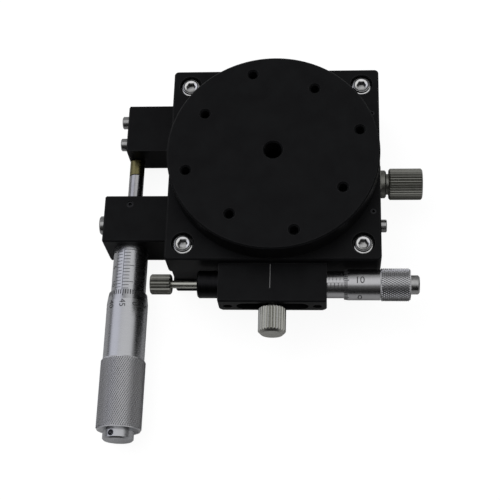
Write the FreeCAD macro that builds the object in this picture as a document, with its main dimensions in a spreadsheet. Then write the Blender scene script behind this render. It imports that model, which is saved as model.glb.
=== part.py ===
import FreeCAD, Part
import math
import os
import re

import Sketcher

# A manual positioning stage: a 60 mm linear stage driven by a side micrometer carries a
# square rotation unit with a round table, a tangent arm and a small micrometer.
# Frame: origin on the table's axis in the bottom mounting face, linear travel along Y,
# large micrometer on the left (-X) and fine rotation block at the front (-Y). Millimetres.

SIZES = {
    # the whole stage: its square side, and the insets of what is tied to it
    "stage_side": 60.0,
    "base_inset": 0.6,
    "carriage_inset": 1.0,
    "carriage_end_inset": 0.5,
    "corner_screw_inset": 5.0,
    # linear stage, seen along its travel
    "stage_height": 16.0,
    "base_height": 7.8,
    "plate_gap": 0.5,
    "corner_radius": 1.2,
    "edge_break": 0.4,
    "linear_travel": 12.5,
    "inner_floor": 3.4,
    "boss_inset": 18.5,
    "rail_width": 4.2,
    "rail_height": 7.0,
    "rail_end_inset": 2.0,
    "rail_gap": 0.9,
    "rail_clearance": 0.7,
    "groove_depth": 1.15,
    # rollers shared by the rails and the bearing
    "roller_radius": 1.1,
    "roller_length": 2.0,
    "roller_pitch": 5.0,
    "cage_thickness": 0.4,
    "cage_height": 5.4,
    "cage_hole_radius": 1.65,
    "cage_margin": 1.0,
    # return spring and travel stop
    "spring_groove_width": 5.4,
    "spring_radius": 1.7,
    "spring_wire": 0.25,
    "spring_pin_radius": 0.8,
    "spring_end_wall": 3.0,
    "spring_pin_inset": 6.0,
    "spring_rear_pin": 8.0,
    "spring_leg": 1.4,
    "pin_clearance": 0.05,
    "pin_grip": 2.0,
    "stop_inset": 3.5,
    "stop_radius": 1.4,
    "stop_depth": 3.0,
    "stop_clearance": 0.3,
    # base mounting holes
    "mount_hole_radius": 1.7,
    "mount_counterbore_radius": 2.9,
    "mount_counterbore_depth": 3.6,
    # rotation body
    "body_height": 9.0,
    "body_counterbore_radius": 3.25,
    "body_counterbore_depth": 3.2,
    "side_tap_inset": 2.1,
    "side_tap_spacing": 31.0,
    "side_tap_radius": 0.8,
    "side_tap_depth": 4.0,
    # bearing with crossed rollers
    "bearing_height": 4.0,
    "race_width": 3.6,
    "outer_race_width": 4.0,
    "bearing_cage_height": 3.4,
    # turntable
    "table_inset": 0.2,
    "table_height": 7.0,
    "table_gap": 0.4,
    "table_turn": 14.3,
    "table_bore_radius": 2.5,
    "table_floor": 5.0,
    "table_shoulder": 2.4,
    "hub_recess": 0.8,
    "retainer_grip": 4.0,
    "hub_margin": 2.5,
    "hub_wall": 5.0,
    "inner_hole_square": 32.0,
    "outer_hole_inset": 4.8,
    "tap_radius": 1.25,
    "tap_depth": 5.0,
    "tap_mouth_radius": 1.7,
    "retainer_width": 7.0,
    "retainer_height": 1.4,
    "retainer_recess_clearance": 0.6,
    # tangent arm and its clamp
    "axis_rise": 2.5,
    "clamp_ring_width": 6.5,
    "arm_height": 4.0,
    "arm_width": 6.0,
    "arm_end_gap": 2.4,
    "arm_clearance": 0.4,
    "running_clearance": 0.05,
    "contact_gap": 0.08,
    "clamp_stud_radius": 1.2,
    "clamp_pad_length": 1.4,
    # fine adjustment block
    "block_width": 30.0,
    "block_front_wall": 6.4,
    "block_height": 7.4,
    "block_drop": 1.0,
    "block_corner": 1.0,
    "slot_width": 20.0,
    "block_back_wall": 2.2,
    "block_screw_spacing": 16.0,
    "block_screw_sink": 0.7,
    "set_screw_spacing": 24.8,
    "fine_offset": 4.9,
    "fine_travel": 3.1,
    # fine micrometer
    "fine_stem_radius": 2.9,
    "fine_barrel_radius": 3.75,
    "fine_barrel_length": 12.5,
    "fine_spindle_radius": 1.75,
    "fine_tip_length": 1.5,
    "fine_exposed": 6.4,
    "fine_thimble_radius": 4.3,
    "fine_thimble_length": 8.2,
    "fine_grip_radius": 4.6,
    "fine_grip_length": 8.3,
    "fine_cap_radius": 2.65,
    "fine_cap_length": 2.5,
    "fine_cap_hole_radius": 0.6,
    "fine_cap_hole_turn": 41.0,
    "fine_bevel": 1.6,
    # opposing spring plunger
    "bush_radius": 3.85,
    "bush_length": 5.9,
    "bush_end_wall": 1.5,
    "plunger_radius": 1.95,
    "plunger_nose_length": 12.15,
    "plunger_rod_radius": 1.1,
    "plunger_rod_length": 7.4,
    "plunger_knob_radius": 2.85,
    "plunger_knob_length": 5.9,
    "plunger_spring_radius": 1.55,
    "plunger_spring_wire": 0.17,
    # clamp knob at the front
    "clamp_knob_radius": 3.85,
    "clamp_knob_length": 7.4,
    "clamp_knob_gap": 0.7,
    "clamp_knob_chamfer": 0.8,
    # micrometer bracket
    "bracket_width": 20.6,
    "bracket_screw_inset": 3.2,
    "stem_screw_shift": 1.0,
    "bracket_front": 20.4,
    "bracket_depth": 14.6,
    "bracket_foot": 0.5,
    "bracket_top_gap": 1.0,
    "side_gap": 0.9,
    "micrometer_reach": 13.1,
    "micrometer_height": 7.5,
    # large micrometer
    "stem_radius": 4.75,
    "barrel_radius": 5.0,
    "barrel_length": 38.0,
    "spindle_radius": 2.2,
    "spindle_reach": 9.7,
    "tip_length": 5.0,
    "exposed_barrel": 13.8,
    "thimble_radius": 5.9,
    "thimble_length": 19.8,
    "thimble_clearance": 0.15,
    "thimble_bevel": 2.9,
    "thimble_edge": 0.35,
    "grip_radius": 6.4,
    "grip_length": 20.0,
    "grip_seat": 0.3,
    "end_wall": 1.6,
    "cap_radius": 4.35,
    "cap_length": 2.8,
    "cap_hole_radius": 0.85,
    "cap_hole_turn": 18.0,
    # anvil block on the carriage
    "anvil_width": 15.9,
    "anvil_depth": 15.1,
    "anvil_foot": 3.4,
    "anvil_screw_front": 3.5,
    "anvil_screw_spacing": 7.5,
    # travel lock on the right
    "lock_plate_thickness": 1.2,
    "lock_plate_front": 14.0,
    "lock_plate_foot": 1.5,
    "lock_plate_step": 7.0,
    "lock_offset": 0.6,
    "lock_rise": 3.2,
    "lock_plate_back": 3.6,
    "lock_plate_gap": 0.8,
    "lock_plate_corner": 0.6,
    "lock_bush_radius": 4.1,
    "lock_bush_neck_radius": 2.7,
    "lock_bush_flange": 1.6,
    "lock_stud_radius": 2.0,
    "lock_neck_radius": 3.05,
    "lock_neck_length": 0.8,
    "lock_knob_radius": 4.6,
    "lock_knob_length": 9.7,
    "lock_pad_length": 0.7,
    "lock_screw_offset": 11.0,
    "lock_dowel_offset": 6.6,
    "lock_dowel_radius": 0.75,
    # fasteners: thread radius, head radius and head height
    "large_screw_radius": 1.5,
    "large_head_radius": 2.75,
    "large_head_height": 3.0,
    "large_socket": 1.44,
    "low_screw_radius": 1.5,
    "low_head_radius": 2.75,
    "low_head_height": 2.3,
    "low_socket": 1.15,
    "medium_screw_radius": 1.25,
    "medium_head_radius": 2.2,
    "medium_head_height": 2.4,
    "medium_socket": 1.15,
    "small_screw_radius": 1.0,
    "small_head_radius": 1.9,
    "small_head_height": 2.0,
    "small_socket": 0.87,
    "flat_screw_radius": 1.0,
    "flat_head_radius": 1.75,
    "flat_head_height": 1.1,
    "flat_socket": 0.72,
    "screw_grip": 5.0,
    "hole_clearance": 0.15,
    "head_clearance": 0.2,
    "thread_clearance": 0.02,
    "knurl_depth": 0.3,
}

# Places and sizes that follow from the driving ones
PLACES = {
    "base_width": "stage_side - 2*base_inset",
    "base_length": "stage_side",
    "carriage_width": "stage_side - 2*carriage_inset",
    "carriage_length": "stage_side - 2*carriage_end_inset",
    "body_side": "stage_side",
    "corner_square": "stage_side - 2*corner_screw_inset",
    "boss_width": "stage_side - 2*boss_inset",
    "rail_length": "stage_side - 2*rail_end_inset",
    "spring_front_pin": "base_length/2 - spring_pin_inset",
    "stop_offset": "boss_side - stop_inset",
    "side_tap_offset": "half_body - side_tap_inset",
    "table_radius": "half_body - table_inset",
    "hub_radius": "boss_side + hub_margin",
    "hub_bore_radius": "hub_radius - hub_wall",
    "outer_hole_radius": "table_radius - outer_hole_inset",
    "block_depth": "fine_offset + block_front_wall",
    "fine_radius": "half_body + fine_offset",
    "bracket_left": "half_base + bracket_width",
    "micrometer_offset": "half_base + micrometer_reach",
    "anvil_left": "half_carriage + anvil_width",
    "lock_height": "base_height + lock_rise",
    "lock_plate_top": "stage_height - lock_plate_gap",
    "half_base": "base_width/2",
    "half_carriage": "carriage_width/2",
    "half_body": "body_side/2",
    "boss_side": "boss_width/2",
    "inner_rail_face": "boss_side + rail_width",
    "rail_centre": "inner_rail_face + rail_gap/2",
    "outer_rail_face": "inner_rail_face + rail_gap",
    "outer_rail_back": "outer_rail_face + rail_width",
    "trough_side": "outer_rail_back + rail_clearance",
    "rail_axis": "inner_floor + rail_height/2",
    "rail_top": "inner_floor + rail_height",
    "outer_floor": "inner_floor - rail_clearance",
    "inner_roof": "rail_top + rail_clearance",
    "carriage_bottom": "base_height + plate_gap",
    "body_top": "stage_height + body_height",
    "table_bottom": "body_top + table_gap",
    "table_top": "table_bottom + table_height",
    "bearing_bottom": "body_top - bearing_height",
    "bearing_axis": "body_top - bearing_height/2",
    "inner_race": "hub_radius + race_width",
    "bearing_centre": "inner_race + rail_gap/2",
    "outer_race": "inner_race + rail_gap",
    "bearing_outside": "outer_race + outer_race_width",
    "fine_axis": "stage_height + axis_rise",
    "arm_bottom": "fine_axis - arm_height/2",
    "arm_top": "fine_axis + arm_height/2",
    "clamp_ring_radius": "hub_radius + clamp_ring_width",
    "ring_cavity": "clamp_ring_radius + 2*arm_clearance",
    "ring_cavity_top": "arm_top + arm_clearance",
    "hub_bottom": "arm_bottom - running_clearance",
    "hub_top": "table_bottom + hub_recess",
    "hub_flange_radius": "hub_radius + table_shoulder",
    "retainer_screw_length": "hub_top + retainer_grip - 0.5 - retainer_bottom - small_head_height/2",
    "retainer_radius": "hub_bore_radius + retainer_width + 1.5*running_clearance",
    "retainer_bottom": "hub_bottom - retainer_height",
    "recess_radius": "retainer_radius + retainer_recess_clearance",
    "recess_floor": "retainer_bottom - running_clearance*4",
    "half_arm": "arm_width/2",
    "body_window": "half_arm + fine_travel*half_body/fine_radius + 2*arm_clearance",
    "block_front": "half_body + block_depth",
    "block_bottom": "stage_height - block_drop",
    "block_top": "block_bottom + block_height",
    "half_block": "block_width/2",
    "half_slot": "slot_width/2",
    "slot_radius": "arm_height/2 + 0.75*arm_clearance",
    "slot_back": "half_body + block_back_wall",
    "block_window": "half_arm + fine_travel*slot_back/fine_radius + 0.9*arm_clearance",
    "arm_reach": "block_front - arm_end_gap",
    "block_screw_seat": "slot_back - block_screw_sink",
    "fine_contact": "half_arm + contact_gap",
    "fine_edge": "half_block + fine_exposed",
    "fine_grip_start": "fine_edge + fine_thimble_length",
    "fine_cap_start": "fine_grip_start + fine_grip_length",
    "fine_bore": "fine_spindle_radius + running_clearance",
    "fine_thimble_bore": "fine_barrel_radius + running_clearance*3",
    "fine_cavity_end": "half_block + fine_barrel_length + fine_travel + 1",
    "bush_outer": "half_block + bush_length",
    "chamber_end": "bush_outer - bush_end_wall",
    "plunger_back": "fine_contact + plunger_nose_length",
    "plunger_knob_start": "bush_outer + plunger_rod_length",
    "clamp_knob_start": "block_front + clamp_knob_gap",
    "clamp_pad_start": "hub_radius + 3*running_clearance",
    "bracket_side": "half_carriage + side_gap",
    "bracket_top": "stage_height - bracket_top_gap",
    "bracket_back": "bracket_front - bracket_depth",
    "stem_length": "bracket_depth - 0.6",
    "grip_start": "exposed_barrel + thimble_length",
    "grip_end": "grip_start + grip_length",
    "thimble_bore": "barrel_radius + thimble_clearance",
    "inner_thimble_radius": "thimble_radius - grip_seat",
    "cavity_end": "grip_end - end_wall",
    "anvil_front": "spindle_reach + tip_length - bracket_back",
    "anvil_side": "half_base + side_gap - 0.3",
    "anvil_step": "base_height + plate_gap",
    "anvil_screw_height": "carriage_bottom + (stage_height - carriage_bottom)/2",
    "lock_inner": "half_base",
    "lock_outer": "half_base + lock_plate_thickness",
    "lock_bush_outer": "lock_outer + lock_bush_flange",
    "lock_screw_height": "(lock_plate_foot + lock_plate_step)/2",
    "stop_slot_length": "2*(linear_travel + stop_radius + stop_clearance)",
    "spring_height": "rail_top - spring_groove_width/2 + 0.6",
    "spring_ring": "spring_pin_radius + pin_clearance + spring_wire",
    "spring_start": "spring_ring + spring_leg",
    "spring_length": "spring_front_pin + spring_rear_pin - 2*spring_start",
    "inner_seat": "small_head_height + head_clearance",
    "outer_seat": "stage_height - inner_seat",
    "bracket_screw_height": "outer_floor + medium_head_radius + head_clearance",
    "stem_screw_row": "stem_screw_shift - bracket_back - bracket_depth/2",
    "stud_tip": "half_carriage + lock_pad_length + 3*running_clearance - lock_bush_outer",
    "stud_length": "clamp_knob_start - clamp_pad_start - clamp_pad_length - running_clearance",
}

ROLLERS_PER_RAIL = 7
BEARING_ROLLERS = 16
SPRING_TURNS = 9
PLUNGER_SPRING_TURNS = 4
RAIL_SCREW_PITCH = 20.0
ROOT_HALF = "sqrt(0.5)"

AXES = {
    "+Z": FreeCAD.Vector(0, 0, 1),
    "-Z": FreeCAD.Vector(0, 0, -1),
    "+X": FreeCAD.Vector(1, 0, 0),
    "-X": FreeCAD.Vector(-1, 0, 0),
    "+Y": FreeCAD.Vector(0, 1, 0),
    "-Y": FreeCAD.Vector(0, -1, 0),
}
QUARTER = 90
TURNS = {
    "+Z": FreeCAD.Rotation(),
    "-Z": FreeCAD.Rotation(AXES["+X"], 2 * QUARTER),
    "+X": FreeCAD.Rotation(AXES["+Y"], QUARTER),
    "-X": FreeCAD.Rotation(AXES["+Y"], -QUARTER),
    "+Y": FreeCAD.Rotation(AXES["+X"], -QUARTER),
    "-Y": FreeCAD.Rotation(AXES["+X"], QUARTER),
    # the sketch's first axis along Y and its second along Z
    "side": FreeCAD.Rotation(FreeCAD.Vector(1, 1, 1), 120),
}

doc = FreeCAD.newDocument("rotation_stage")
nodes = []


def make_sheet():
    """Write every driving size into the spreadsheet, one row each."""
    sheet = doc.addObject("Spreadsheet::Sheet", "Sizes")
    for row, (name, size) in enumerate(SIZES.items(), start=1):
        sheet.set(f"A{row}", name)
        sheet.set(f"B{row}", str(size))
        sheet.setAlias(f"B{row}", name)
    doc.recompute()


def full(expression):
    """The expression with each place written out and each size as its cell."""

    def cell(match):
        word = match.group(0)
        if word in PLACES:
            return "(" + full(PLACES[word]) + ")"
        return "Sizes." + word if word in SIZES else word

    return re.sub(r"[a-z_]\w*", cell, str(expression))


def bind(thing, **expressions):
    """Tie properties to expressions; a double underscore stands for a dot."""
    for path, expression in expressions.items():
        thing.setExpression(path.replace("__", "."), full(expression))
    return thing


def place(thing, at, turn="+Z"):
    """Turn an object and put its origin at the three expressions."""
    rotation = TURNS[turn] if isinstance(turn, str) else turn
    thing.Placement = FreeCAD.Placement(FreeCAD.Vector(), rotation)
    return bind(thing, Placement__Base__x=at[0], Placement__Base__y=at[1], Placement__Base__z=at[2])


def shift(at, axis, distance):
    """A place moved along an axis by an expression."""
    direction = AXES[axis]
    return tuple(f"({start}) + {part:.0f}*({distance})" for start, part in zip(at, direction))


def node(thing, label):
    """Name a finished sub-part and keep it for export."""
    thing.Label = label
    nodes.append(thing)
    return thing


# Solids from sketches


def new_sketch(body, role, height="0"):
    """A sketch on one of the body's own origin planes, raised along its normal."""
    sketch = body.newObject("Sketcher::SketchObject", body.Name + "_sketch")
    plane = [part for part in body.Origin.OriginFeatures if part.Role == role][0]
    sketch.AttachmentSupport = [(plane, "")]
    sketch.MapMode = "FlatFace"
    return bind(sketch, AttachmentOffset__Base__z=height)


def polygon(sketch, points):
    """A closed outline whose corners are tied to expressions."""
    count = len(points)
    corners = [
        FreeCAD.Vector(math.cos(math.tau * turn / count), math.sin(math.tau * turn / count), 0)
        for turn in range(count)
    ]
    for index in range(count):
        sketch.addGeometry(Part.LineSegment(corners[index], corners[(index + 1) % count]), False)
    for index in range(count):
        sketch.addConstraint(Sketcher.Constraint("Coincident", index, 2, (index + 1) % count, 1))
    for index, (first, second) in enumerate(points):
        for kind, expression, start in (
            ("DistanceX", first, corners[index].x),
            ("DistanceY", second, corners[index].y),
        ):
            number = sketch.addConstraint(Sketcher.Constraint(kind, -1, 1, index, 1, start))
            sketch.setExpression(f"Constraints[{number}]", full(expression))


def mirrored(half):
    """A closed outline from its right half, listed from the top down."""
    return half + [(f"-({across})", up) for across, up in reversed(half)]


def padded(name, points, length, at=("0", "0", "0"), turn="+Z"):
    """A body padded from a closed outline."""
    body = doc.addObject("PartDesign::Body", name)
    sketch = new_sketch(body, "XY_Plane")
    polygon(sketch, points)
    pad = body.newObject("PartDesign::Pad", name + "_pad")
    pad.Profile = sketch
    bind(pad, Length=length)
    return place(body, at, turn)


def turned(name, points, at=("0", "0", "0"), axis="+Z"):
    """A body turned from (radius, height) corners about its own Z axis."""
    body = doc.addObject("PartDesign::Body", name)
    sketch = new_sketch(body, "XZ_Plane")
    polygon(sketch, points)
    revolution = body.newObject("PartDesign::Revolution", name + "_revolution")
    revolution.Profile = sketch
    revolution.ReferenceAxis = (sketch, ["V_Axis"])
    revolution.Angle = 4 * QUARTER
    return place(body, at, axis)


def is_upright(edge, box):
    """Whether an edge runs along its body's Z axis."""
    along = edge.Vertexes[-1].Point - edge.Vertexes[0].Point
    return abs(along.z) > 0.99 * max(along.Length, 1e-9)


def is_on_end(edge, box):
    """Whether an edge lies in the far face of a padded body."""
    return edge.BoundBox.ZMin > box.ZMax - 0.1


def is_on_left(edge, box):
    """Whether an edge lies in a body's outermost left face."""
    return edge.BoundBox.XMax < box.XMin + 0.1


def is_on_left_or_top(edge, box):
    """Whether an edge lies in a section's left or top face."""
    return is_on_left(edge, box) or edge.BoundBox.YMin > box.YMax - 0.1


def is_bottom_corner(edge, box):
    """Whether an edge runs the whole length of a section's bottom."""
    return edge.BoundBox.ZLength > 0.9 * box.ZLength and edge.BoundBox.YMax < box.YMin + 0.1


def dress(body, kind, size, chosen):
    """Fillet or chamfer the edges of a body that a test picks."""
    doc.recompute()
    base = body.Tip
    box = base.Shape.BoundBox
    edges = [f"Edge{index}" for index, edge in enumerate(base.Shape.Edges, start=1) if chosen(edge, box)]
    feature = body.newObject("PartDesign::" + kind, body.Name + "_" + kind.lower())
    feature.Base = (base, edges)
    bind(feature, **{"Radius" if kind == "Fillet" else "Size": size})
    return body


def knurl(body, radius, start, length, count):
    """Straight flutes round a turned body, cut once and repeated."""
    sketch = new_sketch(body, "XY_Plane", f"{start} + {length}")
    half = f"({radius})*3.14159/{count}*0.75"
    polygon(sketch, [
        (f"{radius} - knurl_depth", "0"),
        (f"{radius} + knurl_depth", half + "*2"),
        (f"{radius} + knurl_depth", "-" + half + "*2"),
    ])
    pocket = body.newObject("PartDesign::Pocket", body.Name + "_flute")
    pocket.Profile = sketch
    bind(pocket, Length=length)
    pattern = body.newObject("PartDesign::PolarPattern", body.Name + "_flutes")
    pattern.Originals = [pocket]
    pattern.Axis = (sketch, ["N_Axis"])
    pattern.Angle = 4 * QUARTER
    pattern.Occurrences = count
    body.Tip = pattern
    return body


# Primitives and booleans


def rod(name, radius, length, at, axis="+Z"):
    """A cylinder that starts at a place and runs along an axis."""
    cylinder = doc.addObject("Part::Cylinder", name)
    bind(cylinder, Radius=radius, Height=length)
    return place(cylinder, at, axis)


def funnel(name, wide, narrow, depth, at, axis):
    """A cone that starts wide at a place and narrows along an axis."""
    cone = doc.addObject("Part::Cone", name)
    bind(cone, Radius1=wide, Radius2=narrow, Height=depth)
    return place(cone, at, axis)


def block(name, size, at):
    """A box from its low corner."""
    box = doc.addObject("Part::Box", name)
    bind(box, Length=size[0], Width=size[1], Height=size[2])
    return place(box, at)


def centred_block(name, size, centre):
    """A box round its centre."""
    return block(name, size, tuple(f"{middle} - ({side})/2" for middle, side in zip(centre, size)))


def fused(name, shapes):
    """Several solids joined into one."""
    union = doc.addObject("Part::MultiFuse", name)
    union.Shapes = shapes
    return union


def cut(name, base, tools):
    """A solid with one or more tools taken out of it."""
    difference = doc.addObject("Part::Cut", name)
    difference.Base = base
    difference.Tool = tools[0] if len(tools) == 1 else fused(name + "_tools", tools)
    return difference


def group(name, members):
    """Separate solids kept together in one node."""
    compound = doc.addObject("Part::Compound", name)
    compound.Links = members
    return compound


# Fasteners


def socket_screw(name, kind, length, at, axis):
    """A cap screw: its head stands on the place along the axis, its shank runs the other way."""
    corner = f"{kind}_head_height/8"
    body = turned(name + "_blank", [
        ("0", f"-({length})"),
        (f"{kind}_screw_radius", f"-({length})"),
        (f"{kind}_screw_radius", "0"),
        (f"{kind}_head_radius", "0"),
        (f"{kind}_head_radius", f"{kind}_head_height - {corner}"),
        (f"{kind}_head_radius - {corner}", f"{kind}_head_height"),
        ("0", f"{kind}_head_height"),
    ], at, axis)
    key = doc.addObject("Part::Prism", name + "_key")
    key.Polygon = 6
    bind(key, Circumradius=f"{kind}_socket", Height=f"{kind}_head_height")
    place(key, shift(at, axis, f"{kind}_head_height/2"), axis)
    return cut(name, body, [key])


def set_screw(name, radius, length, at, axis):
    """A headless screw that starts at a place and runs along an axis, with a socket at its start."""
    body = rod(name + "_blank", radius, length, at, axis)
    key = doc.addObject("Part::Prism", name + "_key")
    key.Polygon = 6
    bind(key, Circumradius=f"({radius})*0.55", Height=f"({length})/3")
    place(key, at, axis)
    return cut(name, body, [key])


# Linear stage


def rail_screw_rows():
    return [f"{row * RAIL_SCREW_PITCH:g}" for row in (-1, 0, 1)]


def inner_screw_across(side):
    return f"{side}*(boss_side + (rail_width - groove_depth)/2)"


def outer_screw_across(side):
    return f"{side}*(outer_rail_back - (rail_width - groove_depth)/2)"


def make_base():
    """The fixed plate: a trough on each side of a central boss, and a wall outside each."""
    body = padded("base_blank", mirrored([
        ("boss_side", "rail_top"),
        ("boss_side", "inner_floor"),
        ("rail_centre", "inner_floor"),
        ("rail_centre", "outer_floor"),
        ("trough_side", "outer_floor"),
        ("trough_side", "base_height"),
        ("half_base", "base_height"),
        ("half_base", "0"),
    ]), "base_length", ("0", "base_length/2", "0"), "-Y")
    dress(body, "Chamfer", "edge_break", is_bottom_corner)
    tools = [
        centred_block("spring_groove",
                      ("spring_groove_width", "base_length - 2*spring_end_wall", "spring_groove_width"),
                      ("0", "0", "spring_height")),
        centred_block("stop_slot", ("2*(stop_radius + stop_clearance)", "stop_slot_length", "2*stop_depth"),
                      ("stop_offset", "0", "rail_top")),
        rod("spring_pin_hole", "spring_pin_radius + thread_clearance", "rail_top",
            ("0", "-spring_front_pin", "inner_floor/2")),
        rod("lock_screw_hole", "small_screw_radius + thread_clearance", "screw_grip",
            ("half_base", "-lock_screw_offset", "lock_screw_height"), "-X"),
        rod("lock_dowel_hole", "lock_dowel_radius + thread_clearance", "pin_grip + head_clearance",
            ("half_base", "-lock_dowel_offset", "lock_screw_height"), "-X"),
    ]
    for side_name, side in (("left", -1), ("right", 1)):
        for number, row in enumerate(rail_screw_rows()):
            name = f"{side_name}_rail_hole_{number}"
            tools.append(rod(name, "small_screw_radius + hole_clearance", "inner_floor",
                             (inner_screw_across(side), row, "0")))
            tools.append(rod(name + "_head", "small_head_radius + head_clearance",
                             "inner_seat", (inner_screw_across(side), row, "0")))
        for end_name, end in (("front", -1), ("rear", 1)):
            name = f"{side_name}_{end_name}_mount_hole"
            place_xy = (f"{side}*corner_square/2", f"{end}*corner_square/2")
            tools.append(rod(name, "mount_hole_radius", "base_height", (*place_xy, "0")))
            tools.append(rod(name + "_head", "mount_counterbore_radius", "mount_counterbore_depth",
                             (*place_xy, "base_height - mount_counterbore_depth")))
    for number, row in enumerate(bracket_screw_rows()):
        seat = ("-(trough_side + medium_head_height + head_clearance)", row, "bracket_screw_height")
        tools.append(rod(f"bracket_hole_{number}", "medium_screw_radius + hole_clearance", "half_base",
                         seat, "-X"))
        tools.append(rod(f"bracket_head_{number}", "medium_head_radius + head_clearance",
                         "medium_head_height + 2*head_clearance", seat, "+X"))
    node(cut("base_plate", body, tools), "base_plate")


def bracket_screw_rows():
    return ["-(bracket_front - bracket_screw_inset)", "-(bracket_back + bracket_screw_inset)"]


def make_carriage():
    """The moving plate: a flat plate whose two legs carry the outer rails."""
    body = padded("carriage_blank", mirrored([
        ("half_carriage", "stage_height"),
        ("half_carriage", "carriage_bottom"),
        ("outer_rail_back", "carriage_bottom"),
        ("outer_rail_back", "rail_top"),
        ("rail_centre", "rail_top"),
        ("rail_centre", "inner_roof"),
    ]), "carriage_length", ("0", "carriage_length/2", "0"), "-Y")
    tools = [
        rod("retainer_recess", "recess_radius", "stage_height", ("0", "0", "recess_floor")),
        rod("spring_pin_seat", "spring_pin_radius + thread_clearance", "pin_grip + head_clearance",
            ("0", "spring_rear_pin", "inner_roof")),
        rod("stop_seat", "stop_radius + thread_clearance", "stage_height",
            ("stop_offset", "0", "inner_floor")),
    ]
    for side_name, side in (("left", -1), ("right", 1)):
        for number, row in enumerate(rail_screw_rows()):
            name = f"{side_name}_outer_hole_{number}"
            across = outer_screw_across(side)
            tools.append(rod(name, "small_screw_radius + hole_clearance", "stage_height",
                             (across, row, "rail_top")))
            tools.append(rod(name + "_head", "small_head_radius + head_clearance", "stage_height",
                             (across, row, "stage_height - small_head_height - head_clearance")))
        for end in (-1, 1):
            tools.append(rod(f"{side_name}_body_tap_{end + 1}", "large_screw_radius + thread_clearance",
                             "stage_height", (f"{side}*corner_square/2", f"{end}*corner_square/2",
                                              "carriage_bottom")))
    for number, row in enumerate(anvil_screw_rows()):
        tools.append(rod(f"anvil_tap_{number}", "small_screw_radius + thread_clearance",
                         "screw_grip + head_clearance", ("-half_carriage", row, "anvil_screw_height"), "+X"))
    node(cut("moving_plate", body, tools), "moving_plate")


def anvil_screw_rows():
    return ["anvil_front + anvil_screw_front", "anvil_front + anvil_screw_front + anvil_screw_spacing"]


def make_rails():
    """Four hardened rails, each with a right-angled groove that faces its partner."""
    for side_name, side in (("left", -1), ("right", 1)):
        inner = padded(f"{side_name}_inner_blank", rail_outline(side, "boss_side", "inner_rail_face", -1),
                       "rail_length", ("0", "rail_length/2", "0"), "-Y")
        outer = padded(f"{side_name}_outer_blank",
                       rail_outline(side, "outer_rail_back", "outer_rail_face", 1),
                       "rail_length", ("0", "rail_length/2", "0"), "-Y")
        depth = "rail_height/2 - groove_depth/2"
        inner_taps = []
        outer_taps = []
        for number, row in enumerate(rail_screw_rows()):
            inner_taps.append(rod(f"{side_name}_inner_tap_{number}", "small_screw_radius + thread_clearance",
                                  depth, (inner_screw_across(side), row, "inner_floor")))
            outer_taps.append(rod(f"{side_name}_outer_tap_{number}", "small_screw_radius + thread_clearance",
                                  depth, (outer_screw_across(side), row, "rail_top"), "-Z"))
        node(cut(f"{side_name}_inner_rail", inner, inner_taps), f"{side_name}_inner_rail")
        node(cut(f"{side_name}_outer_rail", outer, outer_taps), f"{side_name}_outer_rail")


def rail_outline(side, back, face, inward):
    """A rail's section; inward is the way that its groove sinks, towards its back."""
    return [(f"{side}*({across})", up) for across, up in (
        (back, "inner_floor"),
        (face, "inner_floor"),
        (face, "rail_axis - groove_depth"),
        (f"{face} + {inward}*groove_depth", "rail_axis"),
        (face, "rail_axis + groove_depth"),
        (face, "rail_top"),
        (back, "rail_top"),
    )]


def tilted_roller(name, sign, around, radius_place, height):
    """A crossed roller: its axis leans 45 degrees to one side in the plane of its angle."""
    roller = doc.addObject("Part::Cylinder", name)
    bind(roller, Radius="roller_radius", Height="roller_length")
    lean = FreeCAD.Rotation(AXES["+Y"], sign * QUARTER / 2)
    turn = FreeCAD.Rotation(AXES["+Z"], math.degrees(around)) * lean
    radial = f"({radius_place} - {sign}*roller_length/2*{ROOT_HALF})"
    at = (f"{radial}*{math.cos(around):.9f}", f"{radial}*{math.sin(around):.9f}",
          f"{height} - roller_length/2*{ROOT_HALF}")
    return place(roller, at, turn)


def make_roller_cages():
    """A row of crossed rollers in a thin cage between each pair of rails."""
    middle = (ROLLERS_PER_RAIL - 1) / 2
    rollers = []
    for side_name, side in (("left", -1), ("right", 1)):
        windows = []
        for number in range(ROLLERS_PER_RAIL):
            row = f"({number - middle:g})*roller_pitch"
            roller = tilted_roller(f"{side_name}_roller_{number}", (-1) ** number, 0, f"{side}*rail_centre",
                                   "rail_axis")
            bind(roller, Placement__Base__y=row)
            rollers.append(roller)
            windows.append(rod(f"{side_name}_window_{number}", "cage_hole_radius", "4*cage_thickness",
                               (f"{side}*rail_centre - 2*cage_thickness", row, "rail_axis"), "+X"))
        strip = centred_block(f"{side_name}_cage_strip",
                              ("cage_thickness", f"{ROLLERS_PER_RAIL}*roller_pitch + cage_margin",
                               "cage_height"),
                              (f"{side}*rail_centre", "0", "rail_axis"))
        node(cut(f"{side_name}_roller_cage", strip, windows), f"{side_name}_roller_cage")
    node(group("rail_rollers", rollers), "rail_rollers")


def make_rail_screws():
    """The screws that hold the inner rails from below and the outer rails from above."""
    inner = []
    outer = []
    for side_name, side in (("left", -1), ("right", 1)):
        for number, row in enumerate(rail_screw_rows()):
            inner.append(socket_screw(f"{side_name}_inner_screw_{number}", "small",
                                      "inner_floor - inner_seat + rail_height/2 - groove_depth/2 - 0.5",
                                      (inner_screw_across(side), row, "inner_seat"), "-Z"))
            outer.append(socket_screw(f"{side_name}_outer_screw_{number}", "small",
                                      "outer_seat - rail_top + rail_height/2 - groove_depth/2 - 0.5",
                                      (outer_screw_across(side), row, "outer_seat"), "+Z"))
    node(group("inner_rail_screws", inner), "inner_rail_screws")
    node(group("outer_rail_screws", outer), "outer_rail_screws")


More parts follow.
